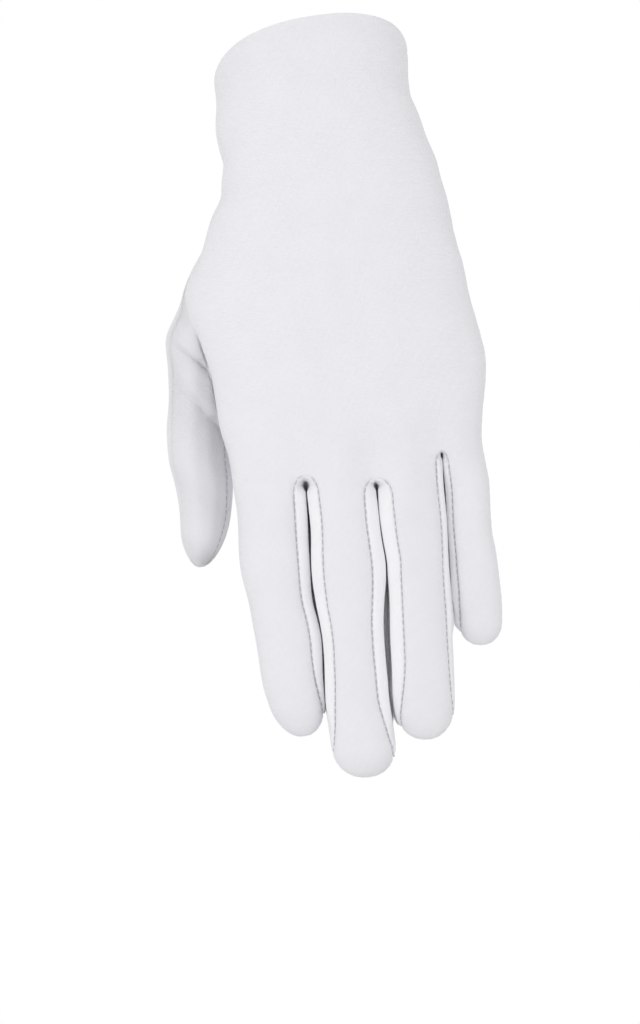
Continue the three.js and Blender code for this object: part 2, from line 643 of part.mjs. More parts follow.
// Closes a sheet: outer faces, inner faces and a wall along every open edge.
function closeSheet({ outer, inner, faces }) {
  const ids = [...outer.keys()];
  const place = new Map(ids.map((id, n) => [id, n]));
  const count = ids.length;
  const positions = [...ids.map((id) => outer.get(id)), ...ids.map((id) => inner.get(id))];
  const index = [];
  const edges = new Set();
  for (const face of faces) {
    const [a, b, c] = face.map((id) => place.get(id));
    index.push(a, b, c, count + a, count + c, count + b);
    edges.add(`${a} ${b}`).add(`${b} ${c}`).add(`${c} ${a}`);
  }
  for (const edge of edges) {
    const [a, b] = edge.split(' ').map(Number);
    if (!edges.has(`${b} ${a}`)) index.push(b, a, count + a, b, count + a, count + b);
  }
  const geometry = new THREE.BufferGeometry().setFromPoints(positions);
  geometry.setIndex(index);
  return geometry;
}

// Vertices once round the glove at a row of the hand
function ringAt(row) {
  const ring = [];
  for (let i = 0; i <= lastFinger; i += 1) {
    for (let n = 0; n < PANEL_COLUMNS; n += 1) ring.push(panelVertex('back', i, row, n));
  }
  for (let i = lastFinger; i >= 0; i -= 1) {
    for (let n = PANEL_COLUMNS; n > 0; n -= 1) ring.push(panelVertex('palm', i, row, n));
  }
  return ring;
}

// The hem: the cloth goes over the wrist edge and down again inside, as a second ply
function addHem(sheet, normals) {
  const rings = Array.from({ length: HEM_ROWS + 1 }, (unused, row) => ringAt(row));
  const foldRadius = CLOTH + SEAM_GAP / 2;
  const bottom = FOLD_STEPS + HEM_ROWS;
  const id = (step, n) => (step === 0 ? rings[0][n] : `hem ${step} ${n}`);
  rings[0].forEach((v, n) => {
    const edge = skin.points[v];
    const normal = normals[v];
    const centre = edge.clone().addScaledVector(normal, -foldRadius);
    const up = edge.clone().sub(skin.points[rings[1][n]]).projectOnPlane(normal).normalize();
    for (let step = 1; step <= FOLD_STEPS; step += 1) {
      const angle = (Math.PI * step) / FOLD_STEPS;
      const way = normal.clone().multiplyScalar(Math.cos(angle));
      way.addScaledVector(up, Math.sin(angle));
      sheet.outer.set(id(step, n), centre.clone().addScaledVector(way, foldRadius));
      sheet.inner.set(id(step, n), centre.clone().addScaledVector(way, SEAM_GAP / 2));
    }
    for (let row = 1; row <= HEM_ROWS; row += 1) {
      const inside = rings[row][n];
      const at = skin.points[inside];
      const step = FOLD_STEPS + row;
      const ply = (depth) => at.clone().addScaledVector(normals[inside], -depth);
      sheet.outer.set(id(step, n), ply(2 * CLOTH + SEAM_GAP));
      sheet.inner.set(id(step, n), ply(CLOTH + SEAM_GAP));
    }
  });
  const around = rings[0].length;
  for (let step = 0; step < bottom; step += 1) {
    for (let n = 0; n < around; n += 1) {
      const m = (n + 1) % around;
      sheet.faces.push([id(step + 1, n), id(step, n), id(step, m)]);
      sheet.faces.push([id(step + 1, n), id(step, m), id(step + 1, m)]);
    }
  }
}

// The hand's whole outer form as one closed body, grown by a clearance
function handBody(faces, normals, clearance) {
  const points = skin.points.map((p, v) => p.clone().addScaledVector(normals[v], clearance));
  const ring = ringAt(0);
  const middle = points.length;
  const sum = ring.reduce((total, v) => total.add(points[v]), new THREE.Vector3());
  points.push(sum.divideScalar(ring.length));
  const lid = ring.map((v, n) => [v, ring[(n + 1) % ring.length], middle]);
  const geometry = new THREE.BufferGeometry().setFromPoints(points);
  geometry.setIndex([...faces, ...lid].flat());
  return geometry;
}

// Thumb: a tube of level rings, whose start lies inside the hand
const thumb = {};
for (const name of ['radial', 'ulnar', 'palm', 'depth']) {
  thumb[name] = column(THUMB_SECTIONS, name);
}

// Height of the folds over the plain tube. round: 1 on the side of the hand's back, -1 behind,
// where there are none.
function thumbFold(along, inward, round) {
  const width = THUMB_FOLD_WIDTH / THUMB_LENGTH;
  const front = smoothstep(round, FOLD_SIDE.none, FOLD_SIDE.full);
  return THUMB_FOLDS.reduce((height, fold) => {
    const below = (along - lerp(fold.outer, fold.inner, inward)) / width;
    const groove = Math.exp(-(below ** 2));
    const ridge = fold.ridge * Math.exp(-(((below + RIDGE_OFFSET) / RIDGE_SPREAD) ** 2));
    return height + fold.depth * THUMB_FOLD_DEPTH * front * (ridge - groove);
  }, 0);
}

function thumbPoint(along, angle, inset) {
  const z = -THUMB_START - THUMB_LENGTH * along;
  const intoCap = 1 - (1 - along) / THUMB_CAP_SHARE;
  const cap = intoCap > 0 ? arc(intoCap, TIP_SQUARENESS) : 1;
  const radial = -KNUCKLE_REACH.radial - THUMB_WIDTH * thumb.radial(along);
  const ulnar = -KNUCKLE_REACH.radial - THUMB_WIDTH * thumb.ulnar(along);
  const cosine = Math.cos(angle);
  const sine = Math.sin(angle);
  const fold = thumbFold(along, (cosine + 1) / 2, -sine) - inset;
  const half = Math.max(((ulnar - radial) / 2) * cap + fold, 0);
  const depth = Math.max(THUMB_DEPTH * thumb.depth(along) * cap + fold, 0);
  const middle = handMiddle(-z / HAND_LENGTH) + HAND_THICKNESS * thumb.palm(along);
  return new THREE.Vector3((radial + ulnar) / 2 + half * cosine, middle + depth * sine, z);
}

// A closed tube. inset is how far it lies inside the thumb's outer surface, at its tip too.
function thumbBody(inset) {
  const end = 1 - inset / THUMB_LENGTH;
  const start = -inset / THUMB_LENGTH;
  const capStart = end - THUMB_CAP_SHARE;
  const tubeRows = THUMB_ROWS - THUMB_CAP_ROWS;
  const shares = [];
  for (let row = 0; row < tubeRows; row += 1) {
    shares.push(lerp(start, capStart, row / tubeRows));
  }
  for (let row = 0; row < THUMB_CAP_ROWS; row += 1) {
    shares.push(lerp(capStart, end, Math.sin((quarter * row) / THUMB_CAP_ROWS)));
  }
  const points = [];
  for (const share of shares) {
    for (let n = 0; n < THUMB_SIDES; n += 1) {
      points.push(thumbPoint(share, (2 * Math.PI * n) / THUMB_SIDES, inset));
    }
  }
  const top = points.push(thumbPoint(start, 0, THUMB_WIDTH)) - 1;
  const tip = points.push(thumbPoint(end, 0, THUMB_WIDTH)) - 1;
  const index = [];
  for (let n = 0; n < THUMB_SIDES; n += 1) {
    const m = (n + 1) % THUMB_SIDES;
    const last = (shares.length - 1) * THUMB_SIDES;
    index.push(top, n, m, tip, last + m, last + n);
    for (let row = 0; row < shares.length - 1; row += 1) {
      const a = row * THUMB_SIDES + n;
      const b = row * THUMB_SIDES + m;
      const c = a + THUMB_SIDES;
      const d = b + THUMB_SIDES;
      index.push(a, c, b, b, c, d);
    }
  }
  const geometry = new THREE.BufferGeometry().setFromPoints(points);
  geometry.setIndex(index);
  return geometry;
}

// Joining and cutting
const manifold = await Module();
manifold.setup();

function toSolid(geometry) {
  const bare = geometry.clone();
  bare.deleteAttribute('normal');
  bare.deleteAttribute('uv');
  const merged = mergeVertices(bare, MERGE_DISTANCE);
  const vertProperties = new Float32Array(merged.attributes.position.array);
  const triVerts = new Uint32Array(merged.index.array);
  return new manifold.Manifold(new manifold.Mesh({ numProp: 3, vertProperties, triVerts }));
}

function toGeometry(solid) {
  const mesh = solid.getMesh();
  const geometry = new THREE.BufferGeometry();
  geometry.setAttribute('position', new THREE.BufferAttribute(mesh.vertProperties, 3));
  geometry.setIndex(new THREE.BufferAttribute(mesh.triVerts, 1));
  return geometry;
}

function largestPart(solid) {
  const parts = solid.decompose();
  return parts.reduce((largest, part) => (part.volume() > largest.volume() ? part : largest));
}

// The glove
const allFaces = [...skin.trank, ...skin.strips.flat()];
const normals = vertexNormals(skin.points, [skin.trank, ...skin.strips]);
const wristEdge = new Set(ringAt(0));

function makeTrank() {
  const sheet = makeSheet(skin.trank, normals, (v) => wristEdge.has(v));
  addHem(sheet, normals);
  const thumbHole = toSolid(thumbBody(CLOTH));
  return toGeometry(largestPart(toSolid(closeSheet(sheet)).subtract(thumbHole)));
}

function makeThumb() {
  const tube = toSolid(thumbBody(0)).subtract(toSolid(thumbBody(CLOTH)));
  const grown = toSolid(handBody(allFaces, normals, SEAM_GAP));
  return toGeometry(largestPart(tube.subtract(grown)));
}

function makeStrip(fork) {
  return closeSheet(makeSheet(skin.strips[fork], normals, () => false));
}

function addPiece(group, name, geometry, colour) {
  geometry.computeVertexNormals();
  const mesh = new THREE.Mesh(geometry, clothMaterial(colour));
  mesh.name = name;
  group.add(mesh);
}

const glove = new THREE.Group();
addPiece(glove, 'trank', makeTrank(), CLOTH_COLOUR);
addPiece(glove, 'thumb', makeThumb(), CLOTH_COLOUR);
FORK_NAMES.forEach((name, fork) => {
  addPiece(glove, `fourchette_${name}`, makeStrip(fork), STRIP_COLOUR);
});

export default glove;
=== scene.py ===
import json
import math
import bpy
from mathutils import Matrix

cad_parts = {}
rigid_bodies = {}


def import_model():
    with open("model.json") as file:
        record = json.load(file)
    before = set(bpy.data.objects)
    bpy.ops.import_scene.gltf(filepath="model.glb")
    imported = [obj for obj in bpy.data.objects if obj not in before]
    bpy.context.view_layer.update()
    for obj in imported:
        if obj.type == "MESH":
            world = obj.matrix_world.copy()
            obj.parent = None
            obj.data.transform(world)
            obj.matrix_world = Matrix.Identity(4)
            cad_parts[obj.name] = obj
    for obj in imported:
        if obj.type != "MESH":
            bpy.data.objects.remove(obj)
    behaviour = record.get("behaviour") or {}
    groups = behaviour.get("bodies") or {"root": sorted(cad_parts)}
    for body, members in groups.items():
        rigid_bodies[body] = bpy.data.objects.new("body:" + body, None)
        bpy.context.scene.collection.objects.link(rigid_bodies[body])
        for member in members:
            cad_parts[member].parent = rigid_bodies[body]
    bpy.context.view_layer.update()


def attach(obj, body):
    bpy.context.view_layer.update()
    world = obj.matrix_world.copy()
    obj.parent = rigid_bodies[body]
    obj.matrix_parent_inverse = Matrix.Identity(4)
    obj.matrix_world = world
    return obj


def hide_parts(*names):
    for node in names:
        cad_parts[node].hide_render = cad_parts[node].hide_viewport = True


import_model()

# A white dress glove for the left hand, in its worn form: a trank, a thumb and three fourchettes
# of thin knitted cloth, with their seams. Sizes are in millimetres until a mesh is made. The
# fingers point down, to -Z. The back of the hand faces -Y and the little finger lies at +X.

from types import SimpleNamespace

import bpy
import numpy as np
from mathutils import Matrix, Vector
from mathutils.kdtree import KDTree

MM = 0.001
QUARTER = math.pi / 2

# Cloth
CLOTH = 0.7  # thickness of the knitted cloth
HEM_SPACE = 0.15  # between the two plies of the wrist hem
SEAM_CLEARANCE = 0.05  # between two pieces that are sewn together
HEM_HEIGHT = 12.0

# Hand
HAND_LENGTH = 127.0
HAND_THICKNESS = 29.0
CUFF_WIDTH = 61.0
CUFF_DEPTH = 38.0
CUFF_RISE_BACK = 14.5
CUFF_RISE_SIDE = 3.0
WRIST_LEAN = 21.5
MIDDLE_AXIS_X = -0.5
WEB_DROP = 12.0
FORK_ARCH = 6.0
KNUCKLE_VALLEY = 2.2
PALM_MOUND = 5.0

# Fingers
FINGER_GAP = 0.8
FINGER_CURL = 6.0
FINGER_DEPTH_SHARE = 0.84

# Thumb
THUMB_LENGTH = 106.0
THUMB_WIDTH = 20.5
THUMB_DEPTH = 21.0
THUMB_START = 47.0

# Shapes of the sections: 2 is an ellipse, more is squarer
HAND_SQUARENESS = 2.3
FINGER_SQUARENESS = 2.3
TIP_SQUARENESS = 2.2
STRIP_ROUNDNESS = 0.6

# Where forms begin and end, as shares of the size that each comment names
SLANT_FADE = 0.45  # of HAND_LENGTH
VALLEY_START = 0.8  # of HAND_LENGTH
VALLEY_WIDTH = 0.3  # of the middle finger's width
BLEND_WIDTHS = 0.65  # of the middle finger's width
CAP_WIDTHS = 0.5  # of the finger's width
SEAM_TAPER = 1.1  # of the finger's width
THUMB_CAP_SHARE = 0.13  # of THUMB_LENGTH


def table(columns, rows):
    """A table with named columns, as one array for each column."""
    return dict(zip(columns.split(), np.array(rows, float).T))


# Sections of the hand. along: share of HAND_LENGTH. cuff: how much the section follows the size
# of the wrist opening and not that of the knuckles. The others are shares of that size.
HAND_SECTIONS = table("along cuff radial ulnar lean back palm", [
    (0.0, 1.0, 1.0, 0.997, 0.0, 1.0, 1.0),
    (0.055, 1.0, 0.99, 0.993, 0.16, 0.99, 0.98),
    (0.116, 1.0, 1.02, 1.0, 0.31, 0.97, 0.95),
    (0.165, 0.9, 0.984, 1.016, 0.42, 0.98, 0.96),
    (0.21, 0.75, 0.942, 1.0, 0.5, 1.0, 1.0),
    (0.264, 0.5, 0.95, 0.975, 0.59, 1.05, 1.09),
    (0.3, 0.35, 0.95, 0.945, 0.64, 1.07, 1.14),
    (0.352, 0.2, 1.035, 0.932, 0.71, 1.09, 1.2),
    (0.4, 0.1, 1.098, 0.921, 0.77, 1.1, 1.26),
    (0.46, 0.0, 1.165, 0.917, 0.83, 1.1, 1.33),
    (0.515, 0.0, 1.226, 0.945, 0.87, 1.1, 1.35),
    (0.565, 0.0, 1.25, 0.965, 0.9, 1.09, 1.35),
    (0.612, 0.0, 1.235, 0.987, 0.92, 1.07, 1.32),
    (0.676, 0.0, 1.19, 1.027, 0.945, 1.04, 1.27),
    (0.738, 0.0, 1.128, 1.053, 0.965, 1.02, 1.2),
    (0.8, 0.0, 1.105, 1.04, 0.98, 1.0, 1.13),
    (0.872, 0.0, 1.078, 1.005, 0.99, 0.98, 1.06),
    (0.94, 0.0, 1.023, 0.991, 1.0, 0.965, 0.99),
    (1.0, 0.0, 1.0, 1.0, 1.0, 0.95, 0.9),
    (1.12, 0.0, 1.0, 1.0, 1.0, 0.9, 0.76),
])

# Side edges of the fingers. along: share of the finger's length. radial and ulnar: the edges to
# the thumb's side and to the little finger's side, as shares of half the width from the axis.
INDEX_EDGES = table("along radial ulnar", [
    (0.0, -1.02, 0.98),
    (0.17, -0.975, 0.985),
    (0.33, -0.99, 0.965),
    (0.47, -0.82, 0.975),
    (0.56, -0.765, 1.08),
    (0.63, -0.71, 1.13),
    (0.79, -0.61, 1.1),
    (0.89, -0.44, 1.1),
    (1.0, -0.25, 1.11),
])
MIDDLE_EDGES = table("along radial ulnar", [
    (0.0, -1.0, 0.98),
    (0.16, -0.97, 1.0),
    (0.3, -1.04, 1.1),
    (0.36, -1.05, 1.09),
    (0.43, -0.99, 1.0),
    (0.49, -0.91, 0.915),
    (0.56, -0.875, 0.885),
    (0.69, -0.92, 0.915),
    (0.76, -0.94, 0.93),
    (0.82, -0.925, 0.99),
    (0.9, -0.88, 1.03),
    (1.0, -0.77, 1.01),
])
RING_EDGES = table("along radial ulnar", [
    (0.0, -1.0, 0.99),
    (0.11, -1.0, 0.99),
    (0.25, -0.965, 1.0),
    (0.33, -0.89, 0.97),
    (0.4, -0.91, 0.95),
    (0.55, -0.94, 0.945),
    (0.7, -0.98, 0.93),
    (0.85, -1.04, 0.88),
    (1.0, -0.94, 0.78),
])
LITTLE_EDGES = table("along radial ulnar", [
    (0.0, -1.0, 0.86),
    (0.12, -1.0, 0.955),
    (0.37, -1.03, 0.915),
    (0.5, -1.04, 1.04),
    (0.65, -1.03, 1.09),
    (0.8, -1.0, 1.1),
    (1.0, -0.8, 1.0),
])

# Depth of every finger. along: share of the finger's length. curl: share of FINGER_CURL.
FINGER_PROFILE = table("along depth curl", [
    (-0.1, 1.08, 0.0),
    (0.15, 1.06, 0.0),
    (0.4, 1.0, 0.1),
    (0.65, 0.94, 0.36),
    (0.85, 0.86, 0.7),
    (1.0, 0.78, 1.0),
])

# Lines between the panels, from the thumb's side on. level: where the fingers begin, as a share
# of HAND_LENGTH. arch: share of FORK_ARCH. web: share of WEB_DROP.
LINES = table("level arch web", [
    (0.998, 1.0, 0),
    (0.998, 1.0, 1),
    (1.018, 1.0, 1),
    (0.963, 0.7, 1),
    (0.95, 0.7, 0),
])

# Mounds of the palm. x: place across, as a share of the knuckles' reach to that side. along and
# length: shares of HAND_LENGTH. width: share of CUFF_WIDTH. height: share of PALM_MOUND.
PALM_MOUNDS = [
    SimpleNamespace(x=-0.8, along=0.52, length=0.16, width=0.26, height=1.0),
    SimpleNamespace(x=0.62, along=0.55, length=0.24, width=0.26, height=0.35),
]

# Sections of the thumb's tube. along: share of THUMB_LENGTH. radial and ulnar: its side edges, as
# shares of THUMB_WIDTH from the knuckles' radial reach. palm: its axis behind the hand's middle,
# as a share of HAND_THICKNESS. depth: half its depth, as a share of THUMB_DEPTH.
THUMB_SECTIONS = table("along radial ulnar palm depth", [
    (0.0, -0.22, -1.15, 0.05, 0.3),
    (0.1, 0.27, -1.08, 0.19, 0.47),
    (0.18, 0.49, -0.78, 0.29, 0.56),
    (0.25, 0.68, -0.55, 0.36, 0.6),
    (0.32, 0.86, -0.36, 0.4, 0.59),
    (0.4, 0.87, -0.2, 0.43, 0.56),
    (0.5, 0.89, -0.11, 0.465, 0.52),
    (0.6, 0.955, -0.03, 0.485, 0.49),
    (0.68, 0.96, 0.01, 0.49, 0.48),
    (0.76, 0.885, 0.015, 0.48, 0.46),
    (0.85, 0.85, 0.07, 0.45, 0.43),
    (0.93, 0.86, 0.19, 0.42, 0.39),
    (1.0, 0.86, 0.32, 0.4, 0.34),
])

# Folds across the thumb, on the side of the hand's back. outer and inner: where each crosses the
# thumb's outer and inner side, as shares of THUMB_LENGTH. depth: of the groove. width: of the
# groove. ridge: height of the puffed cloth above it. spread: width of that cloth. start and full:
# how far round to the inner side the fold begins and is full.
THUMB_FOLDS = [
    SimpleNamespace(outer=0.33, inner=0.493, depth=2.0, width=1.2, ridge=1.4, spread=3.4,
                    start=0.03, full=0.42),
    SimpleNamespace(outer=0.454, inner=0.618, depth=1.4, width=2.4, ridge=0.9, spread=3.2,
                    start=0.1, full=0.6),
]

# How widely the thumb's root melts into the hand. along: share of HAND_LENGTH. back and palm: the
# width in mm on each face.
ROOT_FILLETS = table("along back palm", [
    (0.40, 0.3, 1.0),
    (0.47, 5.0, 5.0),
    (0.53, 9.0, 7.0),
    (0.58, 6.0, 7.0),
    (0.64, 0.8, 4.0),
    (0.72, 0.3, 1.5),
    (1.00, 0.3, 0.6),
])


def lerp(a, b, t):
    return a + (b - a) * t


def smoothstep(x, low, high):
    t = np.clip((x - low) / (high - low), 0, 1)
    return t * t * (3 - 2 * t)


def curve(sections, name, along):
    """A smooth curve through one column of a table."""
    at, value = sections["along"], sections[name]
    slope = np.empty_like(value)
    slope[1:-1] = (value[2:] - value[:-2]) / (at[2:] - at[:-2])
    slope[0] = (value[1] - value[0]) / (at[1] - at[0])
    slope[-1] = (value[-1] - value[-2]) / (at[-1] - at[-2])
    along = np.clip(along, at[0], at[-1])
    i = np.clip(np.searchsorted(at, along, side="right") - 1, 0, len(at) - 2)
    span = at[i + 1] - at[i]
    t = (along - at[i]) / span
    rise = value[i + 1] - value[i]
    bend_in = slope[i] * span - rise
    bend_out = rise - slope[i + 1] * span
    return value[i] + rise * t + t * (1 - t) * (bend_in * (1 - t) + bend_out * t)


def arc(share, squareness):
    """Height of a superellipse of radius 1 at a share of its half width."""
    inside = np.clip(np.abs(share), 0, 1)
    return (1 - inside ** squareness) ** (1 / squareness)


# Fingers from the thumb's side on. arch: how far the knuckle stands up, as a share of
# HAND_THICKNESS. seam: where the seams run on the radial and the ulnar side, as shares of half
# the width. join: where they run out, as shares of the width from the tip.
def finger(name, width, length, edges, arch, seam, join):
    return SimpleNamespace(name=name, width=width, length=length, edges=edges, arch=arch,
                           seam=dict(zip(SIDES, seam)), join=dict(zip(SIDES, join)),
                           tip=-HAND_LENGTH - length, axis=MIDDLE_AXIS_X)


SIDES = ("radial", "ulnar")
FACES = ("back", "palm")
SIGN = {"back": -1, "palm": 1}
FINGERS = [
    finger("index", 21.8, 80.5, INDEX_EDGES, 0.06, (1, 0.7), (0.3, 0.29)),
    finger("middle", 21.0, 94.7, MIDDLE_EDGES, 0.14, (0.71, 0.67), (0.4, 0.26)),
    finger("ring", 20.0, 84.2, RING_EDGES, 0.13, (0.6, 0.87), (0.2, 0.33)),
    finger("little", 14.0, 56.6, LITTLE_EDGES, 0.04, (0.8, 1), (0.3, 0.3)),
]
INDEX, MIDDLE, RING, LITTLE = range(4)


def apart(a, b):
    """Distance between the axes of two fingers that lie side by side."""
    return FINGERS[a].width / 2 + FINGER_GAP + FINGERS[b].width / 2


FINGERS[INDEX].axis = FINGERS[MIDDLE].axis - apart(INDEX, MIDDLE)
FINGERS[RING].axis = FINGERS[MIDDLE].axis + apart(MIDDLE, RING)
FINGERS[LITTLE].axis = FINGERS[RING].axis + apart(RING, LITTLE)
KNUCKLE_REACH = {
    "radial": -(FINGERS[INDEX].axis + FINGERS[INDEX].width / 2 * INDEX_EDGES["radial"][0]),
    "ulnar": FINGERS[LITTLE].axis + FINGERS[LITTLE].width / 2 * LITTLE_EDGES["ulnar"][0],
}


def hand_reach(side, along):
    size = lerp(KNUCKLE_REACH[side], CUFF_WIDTH / 2, curve(HAND_SECTIONS, "cuff", along))
    return size * curve(HAND_SECTIONS, side, along)


def hand_half_depth(face, along):
    size = lerp(HAND_THICKNESS, CUFF_DEPTH, curve(HAND_SECTIONS, "cuff", along)) / 2
    return size * curve(HAND_SECTIONS, face, along)


def hand_middle(along):
    return -WRIST_LEAN * curve(HAND_SECTIONS, "lean", along)


def outer_edge(i, side, z):
    """Side edge of a finger at a height. Above the forks the hand's own side goes on."""
    this = FINGERS[i]
    edge = this.axis + this.width / 2 * curve(this.edges, side, (-z - HAND_LENGTH) / this.length)
    if (i, side) == (INDEX, "radial"):
        return np.where(z > -HAND_LENGTH, -hand_reach(side, -z / HAND_LENGTH), edge)
    if (i, side) == (LITTLE, "ulnar"):
        return np.where(z > -HAND_LENGTH, hand_reach(side, -z / HAND_LENGTH), edge)
    return edge


def finger_section(i, z):
    this = FINGERS[i]
    into_cap = 1 - (z - this.tip) / (CAP_WIDTHS * this.width)
    cap = np.where(into_cap > 0, arc(into_cap, TIP_SQUARENESS), 1)
    radial, ulnar = outer_edge(i, "radial", z), outer_edge(i, "ulnar", z)
    along = (-z - HAND_LENGTH) / this.length
    curl = FINGER_CURL * curve(FINGER_PROFILE, "curl", along)
    return SimpleNamespace(
        centre=(radial + ulnar) / 2,
        half=np.maximum((ulnar - radial) / 2 * cap, 1e-6),
        middle=-WRIST_LEAN - this.arch * HAND_THICKNESS + curl,
        depth=this.width / 2 * FINGER_DEPTH_SHARE * curve(FINGER_PROFILE, "depth", along) * cap,
    )


FORK_X = [
    float(outer_edge(i, "ulnar", -HAND_LENGTH) + outer_edge(i + 1, "radial", -HAND_LENGTH)) / 2
    for i in (INDEX, MIDDLE, RING)
]


def valley(x, along):
    """Depth of the dips between the knuckles."""
    width = VALLEY_WIDTH * FINGERS[MIDDLE].width
    dips = [np.exp(-(((x - fork) / width) ** 2)) for fork in FORK_X]
    return KNUCKLE_VALLEY * smoothstep(along, VALLEY_START, 1) * np.max(dips, axis=0)


def mounds(x, along):
    height = 0
    for mound in PALM_MOUNDS:
        middle = mound.x * KNUCKLE_REACH["radial" if mound.x < 0 else "ulnar"]
        across = (x - middle) / (mound.width * CUFF_WIDTH)
        down = (along - mound.along) / mound.length
        height = height + PALM_MOUND * mound.height * np.exp(-(across ** 2) - down ** 2)
    return height


def hand_depth(face, x, along):
    """Depth of the hand from its middle to one face, before the section's own rounding."""
    mound = mounds(x, along) if face == "palm" else 0
    return hand_half_depth(face, along) + mound - valley(x, along)


def hand_y(face, x, along, radial, ulnar):
    rounding = arc((2 * x - radial - ulnar) / (ulnar - radial), HAND_SQUARENESS)
    return hand_middle(along) + SIGN[face] * hand_depth(face, x, along) * rounding


def finger_y(face, x, section):
    rounding = arc((x - section.centre) / section.half, FINGER_SQUARENESS)
    return section.middle + SIGN[face] * section.depth * rounding


def slant(x, y, along):
    """The wrist opening is cut aslant. The slant fades out along the hand."""
    side = CUFF_RISE_SIDE * x / (CUFF_WIDTH / 2)
    back = CUFF_RISE_BACK * (hand_middle(along) - y) / (CUFF_DEPTH / 2)
    return (1 - smoothstep(along, 0, SLANT_FADE)) * (side + back)


# Places along the glove, in the units in which the forms are laid out: 0 at the wrist, HEM_ROW at
# the end of the hem, FORK_ROW at the forks, ARCH_ROW at the end of their arches, JOIN_ROW where
# the finger seams run out and TIP_ROW at the fingertips.
HEM_ROW, FORK_ROW, ARCH_ROW, JOIN_ROW, TIP_ROW = 2, 14, 17, 25, 30


def stretches(*stops):
    """Row positions: (from, to, how many rows) for each stretch."""
    return np.unique(np.concatenate([np.linspace(low, high, n + 1) for low, high, n in stops]))


ROWS = stretches((0, HEM_ROW, 8), (HEM_ROW, FORK_ROW - 1, 56), (FORK_ROW - 1, FORK_ROW, 15),
                 (FORK_ROW, ARCH_ROW, 24), (ARCH_ROW, JOIN_ROW, 88), (JOIN_ROW, TIP_ROW, 24))
FORK, JOIN = (int(np.searchsorted(ROWS, row)) for row in (FORK_ROW, JOIN_ROW))
HEM = int(np.searchsorted(ROWS, HEM_ROW))
COLUMNS = np.linspace(0, 1, 25)
CROWDING = 0.55  # how much closer the columns lie beside a seam


def crowd(t):
    """Shares that lie closer together at both ends."""
    return lerp(t, (1 - np.cos(math.pi * t)) / 2, CROWDING)


def row_share(row):
    hem = HEM_HEIGHT / HAND_LENGTH
    below = lerp(hem, 1, (row - HEM_ROW) / (FORK_ROW - HEM_ROW))
    return np.where(row <= HEM_ROW, hem * row / HEM_ROW, below)


def line_start(face, line):
    web = WEB_DROP * LINES["web"][line] if face == "palm" else 0
    return -HAND_LENGTH * LINES["level"][line] - web


def arch_angle(row):
    return QUARTER * np.clip((row - FORK_ROW) / (ARCH_ROW - FORK_ROW), 0, 1)


def edge_z(face, i, side, row):
    """Height of a panel's edge on one side of finger i."""
    line = i if side == "radial" else i + 1
    this = FINGERS[i]
    start = line_start(face, line)
    share = row_share(row)
    arch = FORK_ARCH * LINES["arch"][line]
    join = this.tip + this.join[side] * this.width
    on_hand = -HAND_LENGTH * share + (start + HAND_LENGTH) * share ** 2
    on_arch = start - arch * (1 - np.cos(arch_angle(row)))
    on_shaft = lerp(start - arch, join, (row - ARCH_ROW) / (JOIN_ROW - ARCH_ROW))
    on_cap = lerp(join, this.tip, np.sin(QUARTER * (row - JOIN_ROW) / (TIP_ROW - JOIN_ROW)))
    reached = [row <= FORK_ROW, row <= ARCH_ROW, row <= JOIN_ROW]
    return np.select(reached, [on_hand, on_arch, on_shaft], on_cap)


def seam_share(face, i, side, z):
    """Place of a seam across its finger: a share of the half width, 1 from the join on."""
    this = FINGERS[i]
    own = this.seam[side]
    other = this.seam["ulnar" if side == "radial" else "radial"]
    seam = own if face == "back" or 1 in (own, other) else (own + other) / 2
    above_join = z - this.tip - this.join[side] * this.width
    opened = np.clip(above_join / (SEAM_TAPER * this.width), 0, 1)
    return lerp(1, seam, 1 - (1 - opened) ** 2)


def line_x(line, along):
    if line == 0:
        return -hand_reach("radial", along)
    if line == len(FINGERS):
        return hand_reach("ulnar", along)
    x = FORK_X[line - 1]
    side = "radial" if x < 0 else "ulnar"
    return x * hand_reach(side, along) / KNUCKLE_REACH[side]


def panel_edge(face, i, side, row):
    """One edge of a panel: its x, its z, its share across the finger and its drop below the fork."""
    line = i if side == "radial" else i + 1
    away = -1 if side == "radial" else 1
    z = edge_z(face, i, side, row)
    section = finger_section(i, z)
    on_hand = row <= FORK_ROW
    share = np.where(on_hand, away, away * seam_share(face, i, side, z))
    seam = section.centre + share * section.half
    if 0 < line < len(FINGERS):
        seam = lerp(FORK_X[line - 1], seam, np.sin(arch_angle(row)))
    x = np.where(on_hand, line_x(line, -z / HAND_LENGTH), seam)
    drop = np.where(on_hand, 0, np.maximum(line_start(face, line) - z, 0))
    return SimpleNamespace(x=x, z=z, share=share, drop=drop)


def finger_weight(drop):
    """How much of the finger's own form the cloth has, at a drop below the fork."""
    return smoothstep(drop, 0, BLEND_WIDTHS * FINGERS[MIDDLE].width)


def column_share(i, t, weight, start, end):
    """Columns lie closer together where the cloth turns round the side."""
    on_hand = {INDEX: 1 - np.cos(QUARTER * t), LITTLE: np.sin(QUARTER * t)}.get(i, t)
    power = FINGER_SQUARENESS / 2

    def angle(share):
        return np.arccos(np.sign(share) * np.minimum(np.abs(share), 1) ** power)

    cosine = np.cos(lerp(angle(start), angle(end), t))
    across = np.sign(cosine) * np.abs(cosine) ** (1 / power)
    return lerp(on_hand, (across - start) / (end - start), weight)


